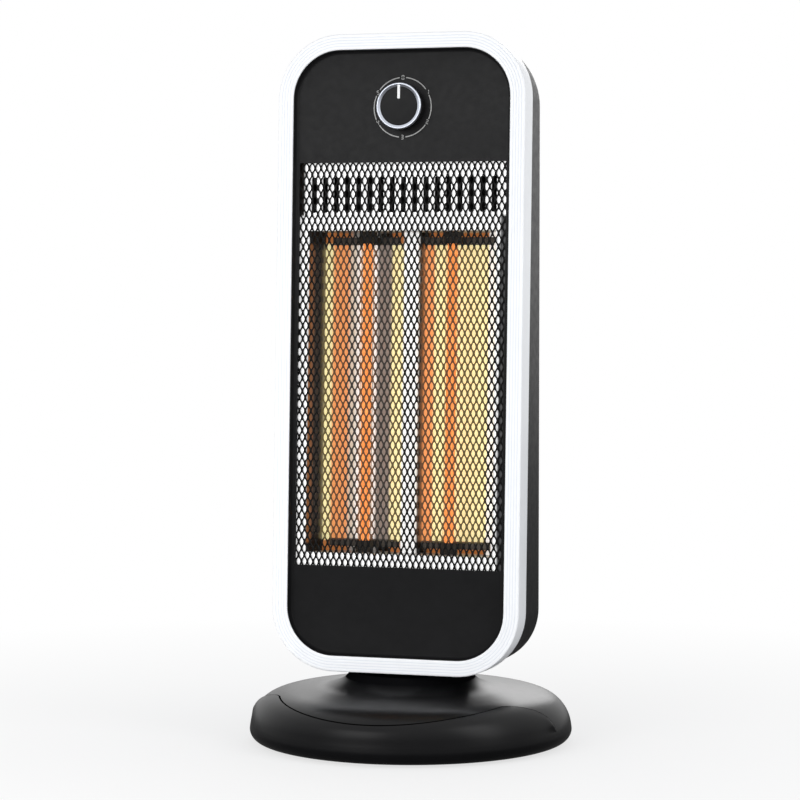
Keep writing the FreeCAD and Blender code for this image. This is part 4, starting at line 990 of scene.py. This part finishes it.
# Near-black steel for the heat shield: painted shade, so the space behind the vent slots looks dark.
plain_finish("blackened_steel", (0.012, 0.011, 0.01), 0.6, tone=0.15, grain=0.1, specular=0.2)
plain_finish("strap_steel", (0.085, 0.07, 0.055), 0.5, tone=0.2, grain=0.1)
plain_finish("dark_screws", (0.05, 0.05, 0.052), 0.38, metallic=1.0, grain=0.03)
plain_finish("ceramic", (0.035, 0.028, 0.022), 0.75, tone=0.15, grain=0.25, grain_scale=2500.0)
plain_finish("knob_black", (0.009, 0.009, 0.0095), 0.45, grain=0.03, specular=0.13)
plain_finish("knob_chrome", (0.58, 0.61, 0.68), 0.34, metallic=1.0, tone=0.02, grain=0.01)
plain_finish("pointer_white", (0.85, 0.85, 0.85), 0.5, tone=0.04)
plain_finish("dial_grey", (0.38, 0.38, 0.37), 0.6, tone=0.08)
plain_finish("rubber", (0.015, 0.015, 0.015), 0.85, tone=0.2, grain=0.3)
plain_finish(
    "ballast_iron", (0.11, 0.11, 0.115), 0.7, metallic=1.0, tone=0.25, grain=0.5, grain_scale=600.0,
)
plain_finish("inner_plastic", (0.09, 0.09, 0.092), 0.6, grain=0.1)
plain_finish("base_plate_plastic", (0.018, 0.018, 0.019), 0.65, grain=0.25, grain_scale=1200.0)
print("plain finishes:", len(finishes))

# %% [markdown]
# ## Reflector finish: painted reflections and glow
# The polished bays mirror the glowing tubes, so the sheet shows upright bands of yellow, orange and
# grey that stay about where they are across the bay. A mirror alone would make them slide and grow
# noisy behind the mesh, so the bands are painted reflections, a ramp on the x coordinate that also
# glows a little as painted light. Its darkest bands are painted shade, in the shaded gaps by the bays'
# outer walls and beside the ridge, and where the bezel shadows the edges of the flanges. Close to the
# ends of the bays the straps and end plates are mirrored instead, so a second and darker ramp of
# painted reflections takes over there. The black mesh in front of the bays catches some of their light,
# painted on it as a faint warm glow.

# %% Reflector finish
# Colours of the painted reflections: white, silver, yellow, orange and grey-brown mirror the lit bays.
# The dark brown and near-black ones are painted shade in the shaded walls and gaps, the dark grey one
# is the bezel's painted shadow on the flange edges, and the dim ones are painted reflections of the
# straps and end plates near the bays' ends.
WHITE, SILVER, SHADE = (0.93, 0.93, 0.93), (0.60, 0.52, 0.43), (0.03, 0.03, 0.032)
YELLOW, ORANGE = (0.98, 0.91, 0.50), (0.86, 0.34, 0.12)
SHADED_GLOW, PAINTED_DARK, GREY_BROWN = (0.19, 0.07, 0.02), (0.006, 0.003, 0.0015), (0.27, 0.235, 0.215)
DIM_ORANGE, DIM_GREY = (0.42, 0.15, 0.045), (0.25, 0.24, 0.23)
PAINTED_REFLECTIONS = [
    (WHITE, -83.3, -75.6), (SHADED_GLOW, -75.2, -73.0), (PAINTED_DARK, -72.4, -69.7), (YELLOW, -69.3, -65.8),
    (ORANGE, -64.0, -54.5), (SILVER, -52.5, -50.0), (WHITE, -46.5, -32.4), (GREY_BROWN, -31.0, -19.8),
    (YELLOW, -17.6, -6.8), (WHITE, -5.4, 6.2), (PAINTED_DARK, 6.8, 8.0), (SHADED_GLOW, 9.0), (ORANGE, 11.0, 15.5),
    (YELLOW, 17.0, 59.3), (WHITE, 60.3, 76.5), (SHADE, 77.1, 83.3),
]
PAINTED_END_REFLECTIONS = [
    (WHITE, -83.3, -75.6), (PAINTED_DARK, -75.2, -69.6), (DIM_ORANGE, -69.0, -54.5), (DIM_GREY, -50.0, -31.6),
    (PAINTED_DARK, -29.0, -19.8), (DIM_ORANGE, -17.6, -6.8), (WHITE, -5.4, 6.2), (PAINTED_DARK, 6.8, 12.0),
    (DIM_ORANGE, 15.0, 59.3), (WHITE, 60.3, 77.0), (SHADE, 77.6, 83.3),
]
# Painted light on the black mesh: faint olive, orange and dusky glow in bands where it lies over the
# lit bays, and black where it doesn't.
BLACK, OLIVE = (0.0, 0.0, 0.0), (0.12, 0.09, 0.035)
ORANGE_GLOW, DUSK = (0.14, 0.062, 0.028), (0.04, 0.034, 0.029)
MESH_PAINTED_GLOW = [
    (BLACK, -83.3, -65.0), (OLIVE, -62.5, -55.0), (ORANGE_GLOW, -53.0, -45.0), (DUSK, -42.5, -35.0),
    (ORANGE_GLOW, -32.0, -22.0), (DUSK, -18.5, -8.5), (OLIVE, -5.5, 0.5), (BLACK, 3.0, 13.5),
    (ORANGE_GLOW, 16.5, 26.0), (OLIVE, 28.0, 34.5), (ORANGE_GLOW, 36.5, 46.0), (OLIVE, 48.0, 66.0),
    (BLACK, 69.0, 83.3),
]
# Painted light on the vent plate and sill: a white that glows, with painted shade along one side where
# the bezel shadows it, at the right on the sill and below the slots, and at the left beside the slots.
STRIP_PAINTED_LIGHT = [(WHITE, -83.3, 77.0), (SHADE, 77.6, 83.3)]
PLATE_PAINTED_LIGHT = [(PAINTED_DARK, -83.3, -79.8), (WHITE, -79.2, 83.3)]
BAND_REACH = 83.3
END_LOW, END_HIGH, END_RUN = 0.156, 0.384, 0.002
WARM_LOW, WARM_HIGH, STRIP_END = 0.1595, 0.381, 0.4055
# Strength of the painted glow on faces that look to the front, and the width of its edge.
FRONT_PAINTED_GLOW, FRONT_EDGE = 0.55, 0.05
SHEET_METAL, SHEET_ROUGHNESS, SHEET_GRAIN = 0.2, 0.35, (900.0, 0.02)


def across_window(tree, bands):
    """A ramp on x over the window; each band is a colour with the millimetres where it is pure."""
    share = spread_range(tree, axes_of(tree)["X"], -BAND_REACH * MM, BAND_REACH * MM, 0.0, 1.0)
    stops = [((x / BAND_REACH + 1) / 2, colour) for colour, *places in bands for x in places]
    return ramp(tree, share, stops)


def between(tree, low, high):
    """One between two heights, and zero a little below and above them."""
    height = axes_of(tree)["Z"]
    above = spread_range(tree, height, low - END_RUN, low, 0.0, 1.0)
    below = spread_range(tree, height, high, high + END_RUN, 1.0, 0.0)
    return arithmetic(tree, "MULTIPLY", above, below)


def painted_light_finish(slot, middle, ends, low, high):
    """Upright bands of painted reflection and shade that also glow, as painted light, on the front;
    a second set of them rules below and above two heights.
    """
    tree, shader = new_finish(slot)
    colour = node(tree, "MixRGB", {
        "Fac": between(tree, low, high),
        "Color1": across_window(tree, ends),
        "Color2": across_window(tree, middle),
    }).outputs["Color"]
    facing = axes_of(tree, "Normal")["Y"]
    feed(tree, shader, {
        "Base Color": colour,
        "Emission Color": colour,
        "Emission Strength": spread_range(tree, facing, -FRONT_EDGE, FRONT_EDGE, FRONT_PAINTED_GLOW, 0.0),
        "Metallic": SHEET_METAL,
        "Roughness": SHEET_ROUGHNESS,
    })
    add_grain(tree, shader, *SHEET_GRAIN)


# The black mesh glows faintly in those bands, as painted light, between two heights.
tree, shader = plain_finish("black_mesh", (0.004, 0.004, 0.004), 0.45, specular=0.14)
feed(tree, shader, {
    "Emission Color": across_window(tree, MESH_PAINTED_GLOW),
    "Emission Strength": between(tree, WARM_LOW, WARM_HIGH),
})
painted_light_finish("bright_aluminium", PAINTED_REFLECTIONS, PAINTED_END_REFLECTIONS, END_LOW, END_HIGH)
painted_light_finish("painted_light_plate", STRIP_PAINTED_LIGHT, PLATE_PAINTED_LIGHT, 0.0, STRIP_END)
print("reflector bands:", len(PAINTED_REFLECTIONS), "and", len(PAINTED_END_REFLECTIONS))

# %% [markdown]
# ## Glass and glow
# Quartz is a clear glass with a little warm tint. The carbon ribbon glows: its emission follows a
# stretched noise, because the fibres run lengthwise and don't all carry the same current.

# %% Quartz and carbon
tree, shader = new_finish("quartz")
feed(tree, shader, {
    "Base Color": two_tones(tree, noise(tree, 30.0), (0.97, 0.93, 0.88), (1.0, 0.97, 0.93)),
    "Transmission Weight": 1.0,
    "IOR": 1.12,
    "Roughness": 0.03,
})

tree, shader = new_finish("carbon_glow")
stretch = node(tree, "Mapping", {"Vector": where(tree), "Scale": (900.0, 900.0, 25.0)})
values = {"Vector": stretch.outputs["Vector"], "Scale": 1.0, "Detail": 2.0}
fibres = node(tree, "TexNoise", values).outputs["Fac"]
ember = two_tones(tree, fibres, (0.72, 0.20, 0.04), (0.90, 0.34, 0.10))
feed(tree, shader, {
    "Base Color": ember, "Emission Color": ember, "Emission Strength": 0.95, "Roughness": 0.7,
})

# %% [markdown]
# ## Putting the finishes on
# New pieces take the finish of the slot they were given. CAD pieces that stay visible keep their
# mesh, and only the materials in their slots change.

# %% Assign finishes
CAD_FINISHES = {
    "base_plate_plastic": ["base_plate", "rotary_switch", "terminal_block"],
    "dark_screws": ["base_screws", "cover_screws"],
    "rubber": ["rubber_feet", "cord_gland"],
    "ballast_iron": ["ballast_plate"],
    "inner_plastic": [
        "tip_over_switch", "tip_over_plunger", "swivel_bush", "crank_disc", "oscillation_arm",
    ],
    "zinc_steel": [
        "plunger_spring", "motor_bracket", "oscillation_motor", "motor_shaft", "pivot_tube",
        "pivot_screws", "retaining_ring", "lower_end_plate", "upper_end_plate", "thermal_cutout",
        "switch_shaft",
    ],
    # The heat shield takes the near-black painted shade.
    "blackened_steel": ["heat_shield"],
    "strap_steel": ["lower_tube_straps", "upper_tube_straps"],
    "ceramic": ["lower_end_caps", "upper_end_caps"],
}
for slot, names in CAD_FINISHES.items():
    for name in names:
        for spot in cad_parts[name].material_slots:
            spot.material = finishes[slot]
for piece, finish in made:
    piece.data.materials.append(finishes[finish])
print("finished pieces:", len(made), "and CAD nodes:", sum(map(len, CAD_FINISHES.values())))

# %% [markdown]
# ## Studio
# The photograph is a cut-out on white, lit softly from both sides. A white surround for the camera
# and for mirror rays gives the background and the gloss, and a dimmer one gives the fill light, so a
# colour renders about as it is written. The floor stays pale and keeps a soft shadow, but gloss mirrors
# it dimly, as a dark card would, so that black plastic stays black towards the ground.

# %% Floor and surround
WHITE_LIGHT = (1.0, 1.0, 1.0, 1.0)
FLOOR_HALF, FLOOR_CORNERS = 4.0, ((-1, -1), (1, -1), (1, 1), (-1, 1))
SHADOW_START, SHADOW_END, SHADOW_SHARE = 0.15, 0.75, 0.7
CARD_LIGHT, FILL_LIGHT = 0.15, 0.55


def seen_directly(tree):
    """One for camera, mirror and see-through rays, and zero for the rest."""
    path = node(tree, "LightPath", {}).outputs
    seen = arithmetic(tree, "MAXIMUM", path["Is Camera Ray"], path["Is Glossy Ray"])
    return arithmetic(tree, "MAXIMUM", seen, path["Is Transmission Ray"])


def blend(tree, share, first, second):
    """The first shader where the share is zero, and the second where it is one."""
    return node(tree, "MixShader", {"Fac": share, 1: first, 2: second}).outputs["Shader"]


def light(tree, kind, strength, colour=WHITE_LIGHT):
    """A surface or a background that shines with a strength."""
    return node(tree, kind, {"Color": colour, "Strength": strength}).outputs[kind]


floor_mesh = bpy.data.meshes.new("floor")
corners = [(x * FLOOR_HALF, y * FLOOR_HALF, 0.0) for x, y in FLOOR_CORNERS]
floor_mesh.from_pydata(corners, [], [(0, 1, 2, 3)])
floor = add_object("floor", floor_mesh)
pale = bpy.data.materials.new("pale_floor")
pale.use_nodes = True
tree = pale.node_tree
tree.nodes.clear()
matt = node(tree, "BsdfDiffuse", {"Color": (0.9, 0.9, 0.9, 1.0)}).outputs["BSDF"]
distance = node(tree, "VectorMath", {0: where(tree)}, "LENGTH").outputs["Value"]
far_share = spread_range(tree, distance, SHADOW_START, SHADOW_END, SHADOW_SHARE, 1.0)
lit_share = arithmetic(tree, "MULTIPLY", seen_directly(tree), far_share)
shown = blend(tree, lit_share, matt, light(tree, "Emission", 1.0))
mirror_ray = node(tree, "LightPath", {}).outputs["Is Glossy Ray"]
mirrored = blend(tree, mirror_ray, shown, light(tree, "Emission", CARD_LIGHT))
node(tree, "OutputMaterial", {"Surface": mirrored})
floor_mesh.materials.append(pale)

world = bpy.data.worlds.new("studio")
bpy.context.scene.world = world
world.use_nodes = True
tree = world.node_tree
tree.nodes.clear()
fill = light(tree, "Background", FILL_LIGHT, (0.95, 0.97, 1.0, 1.0))
white = light(tree, "Background", 1.0)
node(tree, "OutputWorld", {"Surface": blend(tree, seen_directly(tree), fill, white)})

# %% [markdown]
# ## Lamps
# Three large soft lamps stand round the object, as in a product studio, and a thin low one lifts the
# bezel's lower edge. Points or spots would give hard shadows that the photograph doesn't have.

# %% Lamps
AIM = Vector((0.0, 0.0, 0.28))


def softbox(name, place, width, height, power, mirrored=True):
    """A large area lamp that faces the middle of the object; gloss need not mirror it."""
    lamp = bpy.data.lights.new(name, "AREA")
    lamp.shape = "RECTANGLE"
    lamp.size = width
    lamp.size_y = height
    lamp.energy = power
    holder = add_object(name, lamp)
    holder.location = place
    holder.rotation_euler = (AIM - Vector(place)).to_track_quat("-Z", "Y").to_euler()
    holder.visible_camera = False
    holder.visible_glossy = mirrored


softbox("front_softbox", (-0.9, -2.2, 1.1), 1.4, 1.4, 17.5)
softbox("low_fill", (-0.2, -0.62, 0.04), 0.5, 0.06, 1.3, mirrored=False)
softbox("right_softbox", (2.0, -0.6, 1.3), 1.0, 1.6, 14.0)
softbox("rear_softbox", (-0.4, 2.4, 1.0), 1.2, 1.0, 9.0)

# %% [markdown]
# ## Camera
# The camera was fitted to outline points of the photograph together with the object's sizes, so its
# place, turn and lens are measured values.

# %% Camera
SENSOR_WIDTH, LENS = 36.0, 120.95
CAMERA_PLACE, LOOK_DOWN, LOOK_ASIDE = (0.5999, -1.9871, 0.36696), 2.825, 17.029
camera_data = bpy.data.cameras.new("photo_camera")
camera_data.sensor_width = SENSOR_WIDTH
camera_data.lens = LENS
camera = add_object("photo_camera", camera_data)
camera.location = CAMERA_PLACE
camera.rotation_euler = (math.radians(90 - LOOK_DOWN), 0.0, math.radians(LOOK_ASIDE))
bpy.context.scene.camera = camera
bpy.context.scene.view_settings.view_transform = "Standard"
